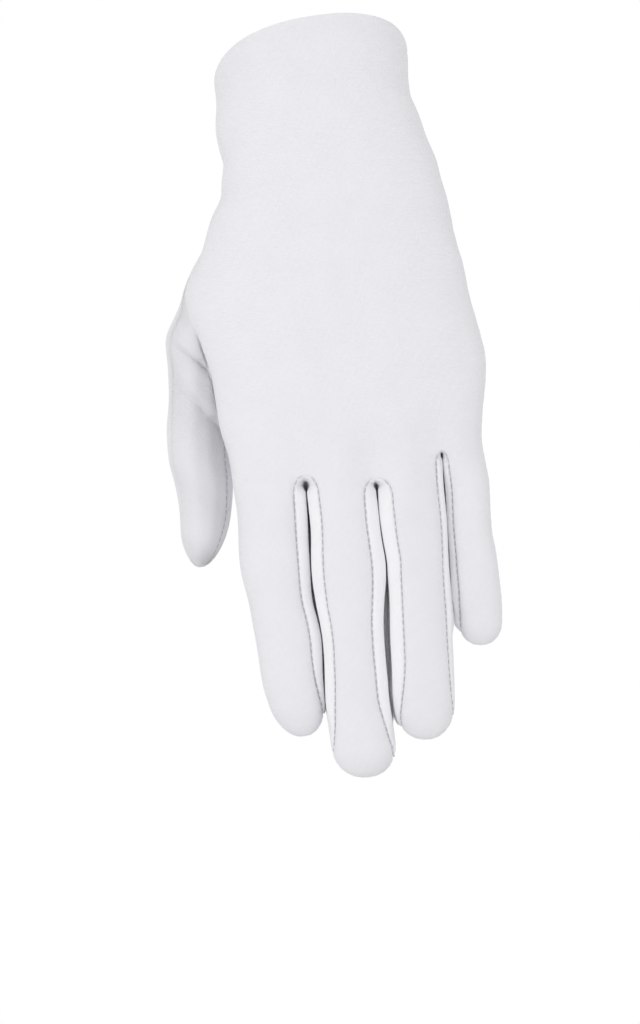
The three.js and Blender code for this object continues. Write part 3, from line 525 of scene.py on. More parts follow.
def panel_points(face, i):
    """The outer surface of one finger's stretch of the trank, on one face, wrist to tip."""
    start, end = (panel_edge(face, i, side, ROWS[:, None]) for side in SIDES)
    mean_weight = finger_weight((start.drop + end.drop) / 2)
    columns = lerp(COLUMNS[None, :], crowd(COLUMNS)[None, :], mean_weight)
    t = column_share(i, columns, mean_weight, start.share, end.share)
    level = smoothstep(t, 0, 1)
    x = lerp(start.x, end.x, t)
    z = lerp(start.z, end.z, level)
    weight = finger_weight(lerp(start.drop, end.drop, level))
    along = -z / HAND_LENGTH
    y = hand_y(face, x, along, outer_edge(INDEX, "radial", z), outer_edge(LITTLE, "ulnar", z))
    points = np.stack([
        x,
        lerp(y, finger_y(face, x, finger_section(i, z)), weight),
        z + np.where(weight == 0, slant(x, y, along), 0),
    ], axis=-1)
    tip = finger_section(i, FINGERS[i].tip)
    points[-1] = (tip.centre, tip.middle, FINGERS[i].tip)
    return points


# Grids of cloth. A grid is an array of vertex numbers, whose shared edges hold the same numbers,
# with the cloth's own coordinates at each place, in mm.
class Skin:
    """Vertices of the glove's outer surface, and the grids that lie on them."""

    def __init__(self):
        self.points = np.empty((0, 3))

    def add(self, points):
        """Adds points and returns their numbers, in the same layout."""
        first = len(self.points)
        self.points = np.concatenate([self.points, points.reshape(-1, 3)])
        return first + np.arange(points[..., 0].size).reshape(points.shape[:-1])


def lengths(points, axis):
    """Running length along one direction of a grid of points."""
    steps = np.linalg.norm(np.diff(points, axis=axis), axis=-1)
    start = [(0, 0), (0, 0)]
    start[axis] = (1, 0)
    return np.cumsum(np.pad(steps, start), axis=axis)


def grid_faces(ids, places, flip=False):
    """Quads of a grid, and the cloth's coordinates at their corners."""
    corners = [np.s_[:-1, :-1], np.s_[1:, :-1], np.s_[1:, 1:], np.s_[:-1, 1:]]
    if flip:
        corners.reverse()
    faces = np.stack([ids[corner].ravel() for corner in corners], axis=-1)
    coordinates = np.stack([places[corner].reshape(-1, 2) for corner in corners], axis=1)
    return faces, coordinates


def triangles(faces):
    """The two triangles of each quad, where they aren't empty."""
    both = np.concatenate([faces[:, [0, 1, 2]], faces[:, [0, 2, 3]]])
    full = (both[:, 0] != both[:, 1]) & (both[:, 1] != both[:, 2]) & (both[:, 2] != both[:, 0])
    return both[full]


def face_sums(points, faces, count):
    """Sum of the faces' normals at each vertex."""
    tri = triangles(faces)
    a, b, c = (points[tri[:, n]] for n in range(3))
    normal = np.cross(b - a, c - a)
    sums = np.zeros((count, 3))
    for n in range(3):
        np.add.at(sums, tri[:, n], normal)
    return sums


def unit(vectors):
    return vectors / np.maximum(np.linalg.norm(vectors, axis=-1, keepdims=True), 1e-12)


NORMAL_SPREAD = 3


def own_normals(points, faces):
    """Normals of one piece, evened out over the vertices round each one."""
    sums = face_sums(points, faces, len(points))
    for _ in range(NORMAL_SPREAD):
        around = sums[faces].sum(axis=1)
        sums = np.zeros_like(sums)
        for n in range(4):
            np.add.at(sums, faces[:, n], around)
    return unit(sums)


def shared_normals(points, pieces):
    """Normals at the vertices. At a seam every piece that meets there counts alike."""
    return unit(sum(own_normals(points, faces) for faces in pieces))


skin = Skin()
PANELS = [(face, i) for face in FACES for i in range(len(FINGERS))]


def lay_panels():
    """The trank's grids. Neighbours share their line down to the fork, and back and palm share
    both outer sides and each finger's end below its join."""
    grids = {}
    for face, i in PANELS:
        points = panel_points(face, i)
        ids = skin.add(points)
        if i > 0:
            ids[:FORK + 1, 0] = grids[face, i - 1].ids[:FORK + 1, -1]
        if face == "palm":
            back = grids["back", i].ids
            ids[JOIN:, [0, -1]] = back[JOIN:, [0, -1]]
            if i == INDEX:
                ids[:, 0] = back[:, 0]
            if i == LITTLE:
                ids[:, -1] = back[:, -1]
        ids[-1] = grids["back", i].ids[-1, 0] if face == "palm" else ids[-1, 0]
        across = lengths(points, 1)
        halfway = len(COLUMNS) // 2
        middle = across[:, [halfway]]
        down = lengths(points[:, halfway, None], 0)[:, 0]
        down = np.interp(-points[..., 2], -points[:, halfway, 2], down)
        places = np.stack([points[:, [halfway], 0] + across - middle, down], axis=-1)
        grids[face, i] = SimpleNamespace(ids=ids, places=places)
    return grids


panels = lay_panels()

# A fourchette. Its rolls beside the seam leave a small hole at the fork and a narrow gap below
# it. Its web runs steeply to the palm, and far inside the gap its two sides wind past each other.
STRIP_SHARES = crowd(np.linspace(0, 1, 29))
ROLL_SHARE = 0.58  # width of the roll at the fork's apex, as a share of half the fork's width
ROLL_CURVATURE = 0.85  # most that it may be, as a share of the apex's radius
WEB_STEEPNESS = 3.5
WEB_TURN = 0.42  # share of the way to the palm from which the web runs down
WEB_SHARPNESS = 0.25  # how sharply it then meets the palm, from 0 to 1
ROLLED = (0.0, 0.17, 0.87, 1.0)  # shares of the strip's width between which its rolls stand close
WINDING = 0.5  # how far the sides wind, to each side of the gap's middle
WINDING_SPACE = 0.1  # from each side to the line on which they wind
WINDING_MOST = 2.4  # most that a side stands out to it
WINDING_END = 0.94  # share of the strip's width at which the winding ends
WINDING_FADE = 0.2  # share of the winding over which it grows, and over which it ends
NARROW = (1.5, 5.5)  # widths of a strip between which it begins to be drawn to the other side
NEIGHBOUR_FADE = (2.0, 11.0)  # above the neighbour's tip, where it begins to stand beside
GAP_CHANGE = (22.0, 38.0)  # below the fork, between the gap's two widths
# Each fork. hole: where the hole under its apex begins and ends. gap: share of the space between
# the fingers that stays open, above and below. inside: where the sides begin to wind, as a share
# of the width.
FORKS = [
    SimpleNamespace(name="index_middle", hole=(2.6, 5.6), gap=(0.55, 0.6), inside=0.66),
    SimpleNamespace(name="middle_ring", hole=(1.2, 3.8), gap=(0.4, 0.95), inside=0.74),
    SimpleNamespace(name="ring_little", hole=(0.6, 3.5), gap=(0.3, 0.3), inside=0.5),
]


def strip_side(fork, i, side, back, palm, rows):
    """One half of a fourchette: from the fork's middle down one finger."""
    share = STRIP_SHARES[None, :]
    angle = arch_angle(rows)[:, None]
    away = 1 if side == "ulnar" else -1
    points = lerp(back[:, None], palm[:, None], share[..., None])
    web = lerp(smoothstep(share, WEB_TURN, 1), share ** WEB_STEEPNESS, WEB_SHARPNESS)
    drop = lerp(web, share, np.sin(angle) ** 2)
    points[..., 2] = lerp(back[:, None, 2], palm[:, None, 2], drop)

    section = finger_section(i, (back[:, 2] + palm[:, 2])[:, None] / 2)
    edge = section.centre + away * section.half
    reach = np.abs(edge - (back[:, 0] + palm[:, 0])[:, None] / 2)
    end = int(np.searchsorted(rows, ARCH_ROW))
    half_fork = abs(back[end, 0] - FORK_X[fork])
    arch = FORK_ARCH * LINES["arch"][fork + 1]
    roll = min(ROLL_SHARE * half_fork, ROLL_CURVATURE * half_fork ** 2 / arch)
    reach = lerp(roll, reach, np.sin(angle) ** 2)
    puff = reach * (4 * share * (1 - share)) ** STRIP_ROUNDNESS
    points[..., 0] += away * puff * np.sin(angle)
    points[..., 2] -= puff * np.cos(angle)
    return closed_in(points, fork, side, angle)


def closed_in(points, fork, side, angle):
    """Draws one side of a fourchette close to the other beneath the fork's hole."""
    share = STRIP_SHARES[None, :]
    away = 1 if side == "ulnar" else -1
    x, z = points[..., 0], points[..., 2]
    edges = [outer_edge(fork, "ulnar", z), outer_edge(fork + 1, "radial", z)]
    below = line_start("back", fork + 1) - z
    middle, half_gap = sum(edges) / 2, (edges[1] - edges[0]) / 2
    half_gap = half_gap * lerp(*FORKS[fork].gap, smoothstep(below, *GAP_CHANGE))
    beside = [smoothstep(z - FINGERS[n].tip, *NEIGHBOUR_FADE) for n in (fork, fork + 1)]
    width = np.linalg.norm(points[:, -1] - points[:, 0], axis=-1)[:, None]
    beside = beside[0] * beside[1] * smoothstep(below, *FORKS[fork].hole)
    beside = beside * smoothstep(width, *NARROW)
    rise, full, fall, none = ROLLED
    rolled = smoothstep(share, rise, full) * (1 - smoothstep(share, fall, none))
    off = away * (middle - x)
    near = np.minimum(off, half_gap * np.sin(angle))
    x = middle - away * lerp(off, near, rolled * beside)

    inside = FORKS[fork].inside
    turn = (share - inside) / (WINDING_END - inside)
    wound = middle + WINDING * np.sin(2 * math.pi * turn) - away * WINDING_SPACE * np.sin(angle)
    within = smoothstep(turn, 0, WINDING_FADE) * (1 - smoothstep(turn, 1 - WINDING_FADE, 1))
    wound = x + np.clip(wound - x, -WINDING_MOST, WINDING_MOST)
    points[..., 0] = lerp(x, wound, within * beside)
    return points


def lay_strip(fork):
    """A fourchette's grid, from the join on the radial finger, round the fork, to the other."""
    rows = ROWS[FORK:JOIN + 1]
    halves = []
    for i, side, edge in ((fork, "ulnar", -1), (fork + 1, "radial", 0)):
        back, palm = (panels[face, i].ids[FORK:JOIN + 1, edge] for face in FACES)
        points = strip_side(fork, i, side, skin.points[back], skin.points[palm], rows)
        halves.append(SimpleNamespace(points=points, back=back, palm=palm))
    first, second = halves
    second.points[0] = first.points[0] = (first.points[0] + second.points[0]) / 2
    points = np.concatenate([first.points[::-1], second.points[1:]])
    back = np.concatenate([first.back[::-1], second.back[1:]])
    palm = np.concatenate([first.palm[::-1], second.palm[1:]])
    ids = skin.add(points)
    ids[:, 0], ids[:, -1] = back, palm
    ids[[0, -1]] = back[[0, -1], None]
    middle = len(STRIP_SHARES) // 2
    across = lengths(points, 1)
    down = lengths(points[:, middle, None], 0)
    places = np.stack([across - across[:, [middle]], down + 0 * across], axis=-1)
    return SimpleNamespace(ids=ids, places=places)


strips = [lay_strip(fork) for fork in range(len(FORKS))]


def joined(parts):
    return tuple(np.concatenate(arrays) for arrays in zip(*parts))


trank_faces, trank_places = joined(
    grid_faces(panels[face, i].ids, panels[face, i].places, flip=face == "palm")
    for face, i in PANELS
)
strip_faces = [grid_faces(strip.ids[::-1], strip.places[::-1]) for strip in strips]

# Thumb
THUMB_FOLD_FRONT = (-0.3, 0.45)  # where a fold begins and is full, round to the back
FOLD_FADE = 1.4  # from the root seam, which holds the cloth down
FOLD_SHARPNESS = 1.4  # of a groove: 2 is a bell, less is sharper
RIDGE_PLACE = 1.1  # above the groove, as a share of the ridge's spread


def thumb_axis(along):
    """Centre and half sizes of the thumb's tube."""
    into_cap = 1 - (1 - along) / THUMB_CAP_SHARE
    cap = np.where(into_cap > 0, arc(into_cap, TIP_SQUARENESS), 1)
    radial, ulnar = (
        -KNUCKLE_REACH["radial"] - THUMB_WIDTH * curve(THUMB_SECTIONS, side, along)
        for side in SIDES
    )
    z = -THUMB_START - THUMB_LENGTH * along
    behind = HAND_THICKNESS * curve(THUMB_SECTIONS, "palm", along)
    return SimpleNamespace(
        x=(radial + ulnar) / 2,
        y=hand_middle(-z / HAND_LENGTH) + behind,
        z=z,
        half=(ulnar - radial) / 2 * cap,
        depth=THUMB_DEPTH * curve(THUMB_SECTIONS, "depth", along) * cap,
    )


def thumb_points(along, angle):
    axis = thumb_axis(along)
    return np.stack([
        axis.x + axis.half * np.cos(angle),
        axis.y + axis.depth * np.sin(angle),
        axis.z + 0 * angle,
    ], axis=-1)


def thumb_relief(along, angle):
    """Height of the folds over the plain tube."""
    inward = (np.cos(angle) + 1) / 2
    front = smoothstep(-np.sin(angle), *THUMB_FOLD_FRONT)
    height = 0
    for fold in THUMB_FOLDS:
        below = (along - lerp(fold.outer, fold.inner, inward)) * THUMB_LENGTH
        strength = front * smoothstep(inward, fold.start, fold.full)
        groove = fold.depth * np.exp(-np.abs(below / fold.width) ** FOLD_SHARPNESS)
        above = (below + RIDGE_PLACE * fold.spread) / fold.spread
        ridge = fold.ridge * np.exp(-(above ** 2))
        height = height + strength * (ridge - groove)
    return height


# Where the thumb meets the hand. Both forms are fields: the distance outside of each.
def thumb_field(points):
    x, y, z = np.moveaxis(points, -1, 0)
    axis = thumb_axis(np.clip((-z - THUMB_START) / THUMB_LENGTH, 0, 1))
    across = (x - axis.x) / np.maximum(axis.half, 1e-3)
    deep = (y - axis.y) / np.maximum(axis.depth, 1e-3)
    share = np.maximum(np.hypot(across, deep), 1e-6)
    return np.hypot(x - axis.x, y - axis.y) * (1 - 1 / share)


def hand_field(points):
    x, y, z = np.moveaxis(points, -1, 0)
    along = -z / HAND_LENGTH
    radial, ulnar = outer_edge(INDEX, "radial", z), outer_edge(LITTLE, "ulnar", z)
    centre, half = (radial + ulnar) / 2, (ulnar - radial) / 2
    middle = hand_middle(along)
    depth = np.where(y < middle, *(hand_depth(face, x, along) for face in FACES))
    share = (np.abs((x - centre) / half) ** HAND_SQUARENESS
             + np.abs((y - middle) / depth) ** HAND_SQUARENESS) ** (1 / HAND_SQUARENESS)
    return np.hypot(x - centre, y - middle) * (1 - 1 / np.maximum(share, 1e-6))


def slope_of(field, points):
    """Gradient of a field."""
    return np.stack([
        (field(points + step) - field(points - step)) / (2 * SLOPE_STEP)
        for step in SLOPE_STEP * np.eye(3)
    ], axis=-1)


TOWARD_PALM = (2.0, 10.0)  # behind the hand's middle, where the fillet changes to the palm's


def fillet_width(points):
    x, y, z = np.moveaxis(points, -1, 0)
    along = -z / HAND_LENGTH
    toward_palm = smoothstep(y - hand_middle(along), *TOWARD_PALM)
    back, palm = (curve(ROOT_FILLETS, face, along) for face in FACES)
    return lerp(back, palm, toward_palm)


SINKING = 0.8  # how steeply either piece sinks under the other at their seam
MELT_MOST = 2.5  # most that a point is moved
MELT_ROUNDS = 6
SLOPE_STEP = 0.05
LEAST_SLOPE = 0.2  # squared, for a move along the slope


def melted(points, sinking=0):
    """The distance outside of hand and thumb together, with a fillet where they meet. sinking: 1
    for the trank and -1 for the thumb, which sink under the other beyond the line they share."""
    hand, thumb = hand_field(points), thumb_field(points)
    width = fillet_width(points)
    overlap = np.maximum(width - np.abs(hand - thumb), 0) / width
    beyond = np.maximum(sinking * (hand - thumb), 0)
    return np.minimum(hand, thumb) - overlap ** 2 * width / 4 + SINKING * beyond


def melt(points, sinking=0):
    """Moves points near the thumb's root onto the surface that hand and thumb share."""
    past = sinking * (hand_field(points) - thumb_field(points)) if sinking else 0
    near = np.abs(hand_field(points) - thumb_field(points)) < fillet_width(points)
    near |= past > 0
    near &= (points[:, 2] > -HAND_LENGTH) & (points[:, 2] < -THUMB_START)
    moved = points[near]
    for _ in range(MELT_ROUNDS):
        slopes = slope_of(lambda where: melted(where, sinking), moved)
        length = np.maximum((slopes ** 2).sum(-1), LEAST_SLOPE)
        moved = moved - (melted(moved, sinking) / length)[:, None] * slopes
    step = moved - points[near]
    far = np.linalg.norm(step, axis=-1, keepdims=True)
    points = points.copy()
    points[near] += step * np.minimum(1, MELT_MOST / np.maximum(far, 1e-6))
    return points


def open_edges(faces):
    """Directed edges that only one face has."""
    tri = triangles(faces)
    edges = np.concatenate([tri[:, [0, 1]], tri[:, [1, 2]], tri[:, [2, 0]]])
    size = int(edges.max()) + 1
    forward, backward = edges[:, 0] * size + edges[:, 1], edges[:, 1] * size + edges[:, 0]
    return edges[~np.isin(forward, backward)]


SEAM_STEP = 0.3  # between the points that stand for a seam's line
SEAM_ALLOWANCE = 0.5  # how deep in each other trank and thumb end at their seam, at least

# The thumb's tube starts a little inside the hand. Each of its columns meets the seam once.
THUMB_SIDES = 128
THUMB_CAP_START = 0.86  # where its rows begin to lie closer together
THUMB_SHARES = np.concatenate([
    np.linspace(0, THUMB_CAP_START, 210)[:-1],
    lerp(THUMB_CAP_START, 1, np.sin(QUARTER * np.linspace(0, 1, 24))),
])
THUMB_ANGLES = 2 * math.pi * np.arange(THUMB_SIDES) / THUMB_SIDES
SEAM_SEARCH = (0.005, 0.95, 500)  # shares of THUMB_LENGTH where the seam is looked for
SEAM_HALVINGS = 30


def seam_crossings(angle, inside=0):
    """Where the tube leaves the hand, as a share of THUMB_LENGTH, for each angle. inside: how
    deep in the hand, in mm."""
    along = np.linspace(*SEAM_SEARCH)[:, None]
    outside = hand_field(thumb_points(along, angle[None, :])) > -inside
    last = len(along) - 1 - np.argmin(outside[::-1], axis=0)
    low, high = along[last, 0], along[np.minimum(last + 1, len(along) - 1), 0]
    for _ in range(SEAM_HALVINGS):
        middle = (low + high) / 2
        out = hand_field(thumb_points(middle, angle)) > -inside
        low, high = np.where(out, low, middle), np.where(out, middle, high)
    return high


thumb_seam = seam_crossings(THUMB_ANGLES)
thumb_start = seam_crossings(THUMB_ANGLES, SEAM_ALLOWANCE)
thumb_along = lerp(thumb_start[None, :], 1, THUMB_SHARES[:, None])


def lay_thumb():
    """The thumb's grid, closed round by its first column."""
    angle = THUMB_ANGLES[None, :] + 0 * thumb_along
    points = thumb_points(thumb_along, angle)
    ids = skin.add(points)
    ids[-1] = ids[-1, 0]
    across = lengths(np.concatenate([points, points[:, :1]], axis=1), 1)
    ids = np.concatenate([ids, ids[:, :1]], axis=1)
    down = THUMB_LENGTH * np.concatenate([thumb_along, thumb_along[:, :1]], axis=1)
    return SimpleNamespace(ids=ids, places=np.stack([across, down], axis=-1))


thumb_grid = lay_thumb()
thumb_faces, thumb_places = grid_faces(thumb_grid.ids, thumb_grid.places)


def along_line(where, length, at):
    return np.stack([np.interp(at, length, where[:, n]) for n in range(3)], axis=-1)


def resample(line, depth):
    """Points along a line at even steps, with their running length and the groove's depth."""
    length = np.concatenate([[0], np.cumsum(np.linalg.norm(np.diff(line, axis=0), axis=1))])
    at = np.arange(0, length[-1], SEAM_STEP)
    return along_line(line, length, at), at, np.interp(at, length, depth)


def cut_thumb_hole(faces, places):
    """Takes away the trank's faces that lie inside the thumb by more than the seam allowance."""
    used = np.unique(faces)
    used = used[(skin.points[used, 2] > -HAND_LENGTH) & (skin.points[used, 2] < -THUMB_START)]
    inside = np.zeros(len(skin.points), bool)
    inside[used] = thumb_field(skin.points[used]) < -SEAM_ALLOWANCE
    keep = ~inside[faces].all(axis=1)
    return faces[keep], places[keep]


def root_line():
    """The line on which the thumb is sewn to the trank, closed."""
    line = melt(thumb_points(thumb_seam, THUMB_ANGLES))
    return np.concatenate([line, line[:1]])


trank_faces, trank_places = cut_thumb_hole(trank_faces, trank_places)
thumb_root = root_line()
for faces, sinking in ((trank_faces, 1), (thumb_faces, -1)):
    used = np.unique(faces)
    skin.points[used] = melt(skin.points[used], sinking)

# Relief. Every seam is a line in a shallow trough, with small puckers beside it.
GROOVE_WIDTH = 0.45
TROUGH_DEPTH = 0.16
TROUGH_WIDTH = 1.6
PUCKER_HEIGHT = 0.07
PUCKER_PITCH = 2.6
PUCKER_PLACE = 1.2
PUCKER_WIDTH = 1.0
FORK_GROOVE, TIP_GROOVE, SIDE_GROOVE, ROOT_GROOVE, THUMB_GROOVE = 0.6, 0.4, 0.4, 0.45, 0.45
APEX_GROOVE = 0.3  # share of the groove's depth at a fork's apex
APEX_FADE = (0.5, 3.5)  # distances from the apex over which it grows full
THUMB_SEAM_COLUMN = THUMB_SIDES - 12  # a little round to the back from the thumb's inner side
THUMB_SEAM_START = 4  # its first row that lies out of the hand
ROOT_SEAM_FADE = (-84.0, -76.0)  # above the second the back of the root shows no seam
PALM_SEAM_FADE = (-66.0, -60.0)  # nor does its palm side above this one
ROOT_BEHIND = (3.0, 9.0)  # behind the hand's middle, where the root's back turns to its palm side


def seam(ids, depth):
    line = skin.points[ids]
    return resample(line, depth + np.zeros(len(line)))


def root_depth(back_share):
    """The thumb's root seam sinks away where the cloth runs smoothly over the root."""
    line = thumb_root
    behind = smoothstep(line[:, 1] - hand_middle(-line[:, 2] / HAND_LENGTH), *ROOT_BEHIND)
    shown = back_share * (1 - smoothstep(line[:, 2], *ROOT_SEAM_FADE))
    shown = lerp(shown, 1 - smoothstep(line[:, 2], *PALM_SEAM_FADE), behind)
    return ROOT_GROOVE * shown


def fork_seam(face, fork):
    """From the join on one finger, round the fork, to the join on the next."""
    first = panels[face, fork].ids[FORK:JOIN + 1, -1]
    second = panels[face, fork + 1].ids[FORK + 1:JOIN + 1, 0]
    return np.concatenate([first[::-1], second])


def fork_depth(ids):
    """The seam is pressed in less where it turns round the fork."""
    line = skin.points[ids]
    away = np.linalg.norm(line - line[JOIN - FORK], axis=1)
    return FORK_GROOVE * lerp(APEX_GROOVE, 1, smoothstep(away, *APEX_FADE))


def seam_lines():
    lines = SimpleNamespace()
    forks = [fork_seam(face, fork) for face in FACES for fork in range(len(FORKS))]
    lines.forks = [seam(ids, fork_depth(ids)) for ids in forks]
    tips = [panels["back", i].ids[JOIN:, edge]
            for i in range(len(FINGERS)) for edge in (0, -1)]
    lines.tips = [seam(ids, TIP_GROOVE) for ids in tips[1:-1]]
    lines.side = [seam(panels["back", LITTLE].ids[:, -1], SIDE_GROOVE)]
    lines.root = [resample(thumb_root, root_depth(1))]
    lines.root_stitched = [resample(thumb_root, root_depth(0))]
    lines.thumb = [seam(thumb_grid.ids[THUMB_SEAM_START:, THUMB_SEAM_COLUMN], THUMB_GROOVE)]
    return lines


def search_tree(points, numbers):
    """A tree that finds the nearest of some numbered points."""
    tree = KDTree(len(numbers))
    for point, number in zip(points, numbers):
        tree.insert(point, number)
    tree.balance()
    return tree


def seam_relief(points, lines):
    """Height of grooves, troughs and puckers over the plain cloth."""
    where, length, depth = joined(lines)
    tree = search_tree(where, range(len(where)))
    found = [tree.find(point)[1:] for point in points]
    nearest = np.array([n for n, _ in found])
    distance = np.array([d for _, d in found])
    strength = depth[nearest] / FORK_GROOVE
    groove = depth[nearest] * np.exp(-((distance / GROOVE_WIDTH) ** 2))
    trough = strength * TROUGH_DEPTH * np.exp(-((distance / TROUGH_WIDTH) ** 2))
    beside = np.exp(-(((distance - PUCKER_PLACE) / PUCKER_WIDTH) ** 2))
    pucker = np.cos(2 * math.pi * length[nearest] / PUCKER_PITCH) * beside
    return strength * PUCKER_HEIGHT * pucker - groove - trough


SEAM_EASE = 0.22  # share of a fourchette's width over which its directions leave the seam's
WAVES = 9
WAVE_LENGTHS = (11.0, 30.0)
WAVE_HEIGHT = 0.05
WAVE_SEED = 11
random = np.random.default_rng(WAVE_SEED)


def waviness(points):
    """Slow unevenness of cloth over a hand: a few random waves."""
    height = 0
    for _ in range(WAVES):
        direction = unit(random.normal(size=3))
        wavelength = random.uniform(*WAVE_LENGTHS)
        phase = random.uniform(0, 2 * math.pi)
        height = height + np.sin(points @ direction * 2 * math.pi / wavelength + phase)
    return WAVE_HEIGHT * height


def fold_heights():
    """Height of the thumb's folds at each vertex of the skin. The root seam holds the cloth."""
    height = np.zeros(len(skin.points))
    along = thumb_along[:-1]
    free = smoothstep((along - thumb_seam) * THUMB_LENGTH, 0, FOLD_FADE)
    height[thumb_grid.ids[:-1, :-1]] = free * thumb_relief(along, THUMB_ANGLES[None, :])
    return height


def eased(vectors):
    """Directions at the skin's vertices, which turn slowly on a fourchette from one seam on."""
    vectors = vectors.copy()
    near = (1 - smoothstep(STRIP_SHARES, 0, SEAM_EASE))[None, :, None]
    for strip in strips:
        own = vectors[strip.ids]
        mixed = lerp(own, own[:, :1], near)
        mixed = lerp(mixed, own[:, -1:], near[:, ::-1])
        vectors[strip.ids[:, 1:-1]] = unit(mixed[:, 1:-1])
    return vectors


all_faces = [trank_faces, thumb_faces] + [faces for faces, _ in strip_faces]
seams = seam_lines()
every_line = seams.forks + seams.tips + seams.side + seams.root + seams.thumb
relief = seam_relief(skin.points, every_line) + waviness(skin.points) + fold_heights()
outward = shared_normals(skin.points, all_faces)
on_trank = np.unique(trank_faces)
outward[on_trank] = own_normals(skin.points, trank_faces)[on_trank]
outward = eased(outward)
smooth_points = skin.points
skin.points = smooth_points + relief[:, None] * outward
normals = eased(shared_normals(skin.points, all_faces))

# Meshes
LEAST_MITRE = 0.55
FOLD_STEPS = 4  # rows round the turned edge of the hem
SHARP_ANGLE = math.radians(50)


def stepped_back(points, faces, own, rim):
    """Points of one piece, with its edge drawn back a little from its neighbour."""
    centre = points[faces].mean(axis=1)
    reach = np.zeros_like(points)
    for n in range(4):
        np.add.at(reach, faces[:, n], centre)
    count = np.bincount(faces.ravel(), minlength=len(points))
    reach = reach / np.maximum(count, 1)[:, None] - points
    reach -= (reach * own).sum(-1, keepdims=True) * own
    points = points.copy()
    points[rim] += SEAM_CLEARANCE * unit(reach[rim])
    return points


def wall(edges, start, end):
    """Quads from one layer to another along directed open edges of the outer surface."""
    return np.stack([start[edges[:, 1]], start[edges[:, 0]], end[edges[:, 0]], end[edges[:, 1]]],
                    axis=-1)


def turned_hem(points, inward, faces, rim, hem_ids, wrist_ids):
    """Layers and quads of the hem's second ply, and of the fold that joins it to the first."""
    offsets = [CLOTH + HEM_SPACE, 2 * CLOTH + HEM_SPACE]
    radius = offsets[1] / 2
    turns = math.pi * np.arange(1, FOLD_STEPS) / FOLD_STEPS
    layers = [points + offset * inward for offset in offsets]
    layers += [points + inward * radius * (1 - math.cos(turn))
               + np.array([0, 0, radius * math.sin(turn)]) for turn in turns]
    ids = np.arange((2 + len(layers)) * len(points)).reshape(-1, len(points))
    outer, inner, ply_outer, ply_inner, *fold = ids
    ply = faces[np.isin(faces, hem_ids).all(axis=1)]
    ends = open_edges(ply)
    ends = ends[~np.isin(ends, wrist_ids).all(axis=1)]
    rings = [outer, *fold, ply_inner]
    quads = [ply_outer[ply], ply_inner[ply[:, ::-1]], wall(ends, ply_outer, ply_inner),
             wall(rim, ply_outer, inner)[:, ::-1]]
    quads += [wall(rim, *pair) for pair in zip(rings, rings[1:])]
    return layers, quads


def cloth_layers(faces, places, hem_ids=None, wrist_ids=None):
    """A closed shell of cloth: its vertices, quads and the cloth's coordinates at the corners."""
    own = own_normals(skin.points, faces)
    edges = open_edges(faces)
    at_wrist = np.zeros(len(edges), bool)
    if wrist_ids is not None:
        at_wrist = np.isin(edges, wrist_ids).all(axis=1)
    points = stepped_back(skin.points, faces, own, np.unique(edges[~at_wrist]))
    lean = np.maximum((normals * own).sum(-1, keepdims=True), LEAST_MITRE)
    inward = -normals / lean
    place_of = np.zeros((len(points), 2))
    place_of[faces] = places

    layers = [points, points + CLOTH * inward]
    outer, inner = np.arange(2 * len(points)).reshape(2, -1)
    quads = [faces, inner[faces[:, ::-1]], wall(edges[~at_wrist], outer, inner)]
    if wrist_ids is not None:
        hem = turned_hem(points, inward, faces, edges[at_wrist], hem_ids, wrist_ids)
        layers += hem[0]
        quads += hem[1]
    quads = np.concatenate(quads)
    places = np.concatenate([places, place_of[quads[len(faces):] % len(points)]])
    return np.concatenate(layers), quads, places


def put(name, data):
    """A new object in the scene."""
    new = bpy.data.objects.new(name, data)
    bpy.context.scene.collection.objects.link(new)
    return new


def make_mesh(name, points, quads, places, material):
    """A smooth mesh object in metres, with the cloth's coordinates as its UV map."""
    used, index = np.unique(quads, return_inverse=True)
    quads = index.reshape(quads.shape)
    following = np.roll(quads, -1, axis=1)
    full = quads != following
    sides = full.sum(axis=1)
    quads, places, full, sides = (a[sides > 2] for a in (quads, places, full, sides))
    faces = [[corner for corner, keep in zip(quad, keeps) if keep]
             for quad, keeps in zip(quads.tolist(), full.tolist())]
    mesh = bpy.data.meshes.new(name)
    mesh.from_pydata((points[used] * MM).tolist(), [], faces)
    layer = mesh.uv_layers.new(name="cloth")
    layer.data.foreach_set("uv", (places[full] * MM).astype(np.float32).ravel())
    mesh.shade_smooth()
    mesh.set_sharp_from_angle(angle=SHARP_ANGLE)
    mesh.materials.append(material)
    return put(name, mesh)


# Materials
WALE = 0.72 * MM  # width of one column of knitted loops
COURSE = 0.56 * MM  # height of one row of loops
LOOP_SLANT = 0.9  # how far a loop's legs run down from its middle to its side, in courses
KNIT_DEPTH = 0.1 * MM
KNIT_STRENGTH = 0.9
PAINTED_KNIT_SHADE_CONTRAST, PAINTED_KNIT_SHADE_BASE = 0.1, 0.93  # painted shade of the knit: share of a loop's height in the colour, and the colour with no height, so the hollows between loops are darker
FLUFF_SCALE = 2600.0  # sizes of noise are per metre
FLUFF_DEPTH = 0.05 * MM
PATCH_SCALE = 90.0
PATCH_CONTRAST, PATCH_SHADE = 0.05, 0.975
TWIST_SCALE = 4000.0
TWIST_DEPTH = 0.05 * MM
TWIST_CONTRAST, TWIST_SHADE = 0.3, 0.85
CLOTH_COLOUR = (0.862, 0.856, 0.888)
# The fourchettes are the same knit as the trank, painted lighter: painted light on their rolls,
# which lie in shade between the fingers.
FOURCHETTE_PAINTED_LIGHT_COLOUR = (0.93, 0.93, 0.955)
# Grey of the thread: painted shade of the seam lines, on thread that is white.
THREAD_PAINTED_SHADE_COLOUR = (0.6, 0.6, 0.64)
FINISH = {
    "Roughness": 0.92,
    "Specular IOR Level": 0.2,
    "Sheen Weight": 0.1,
    "Sheen Roughness": 0.5,
}


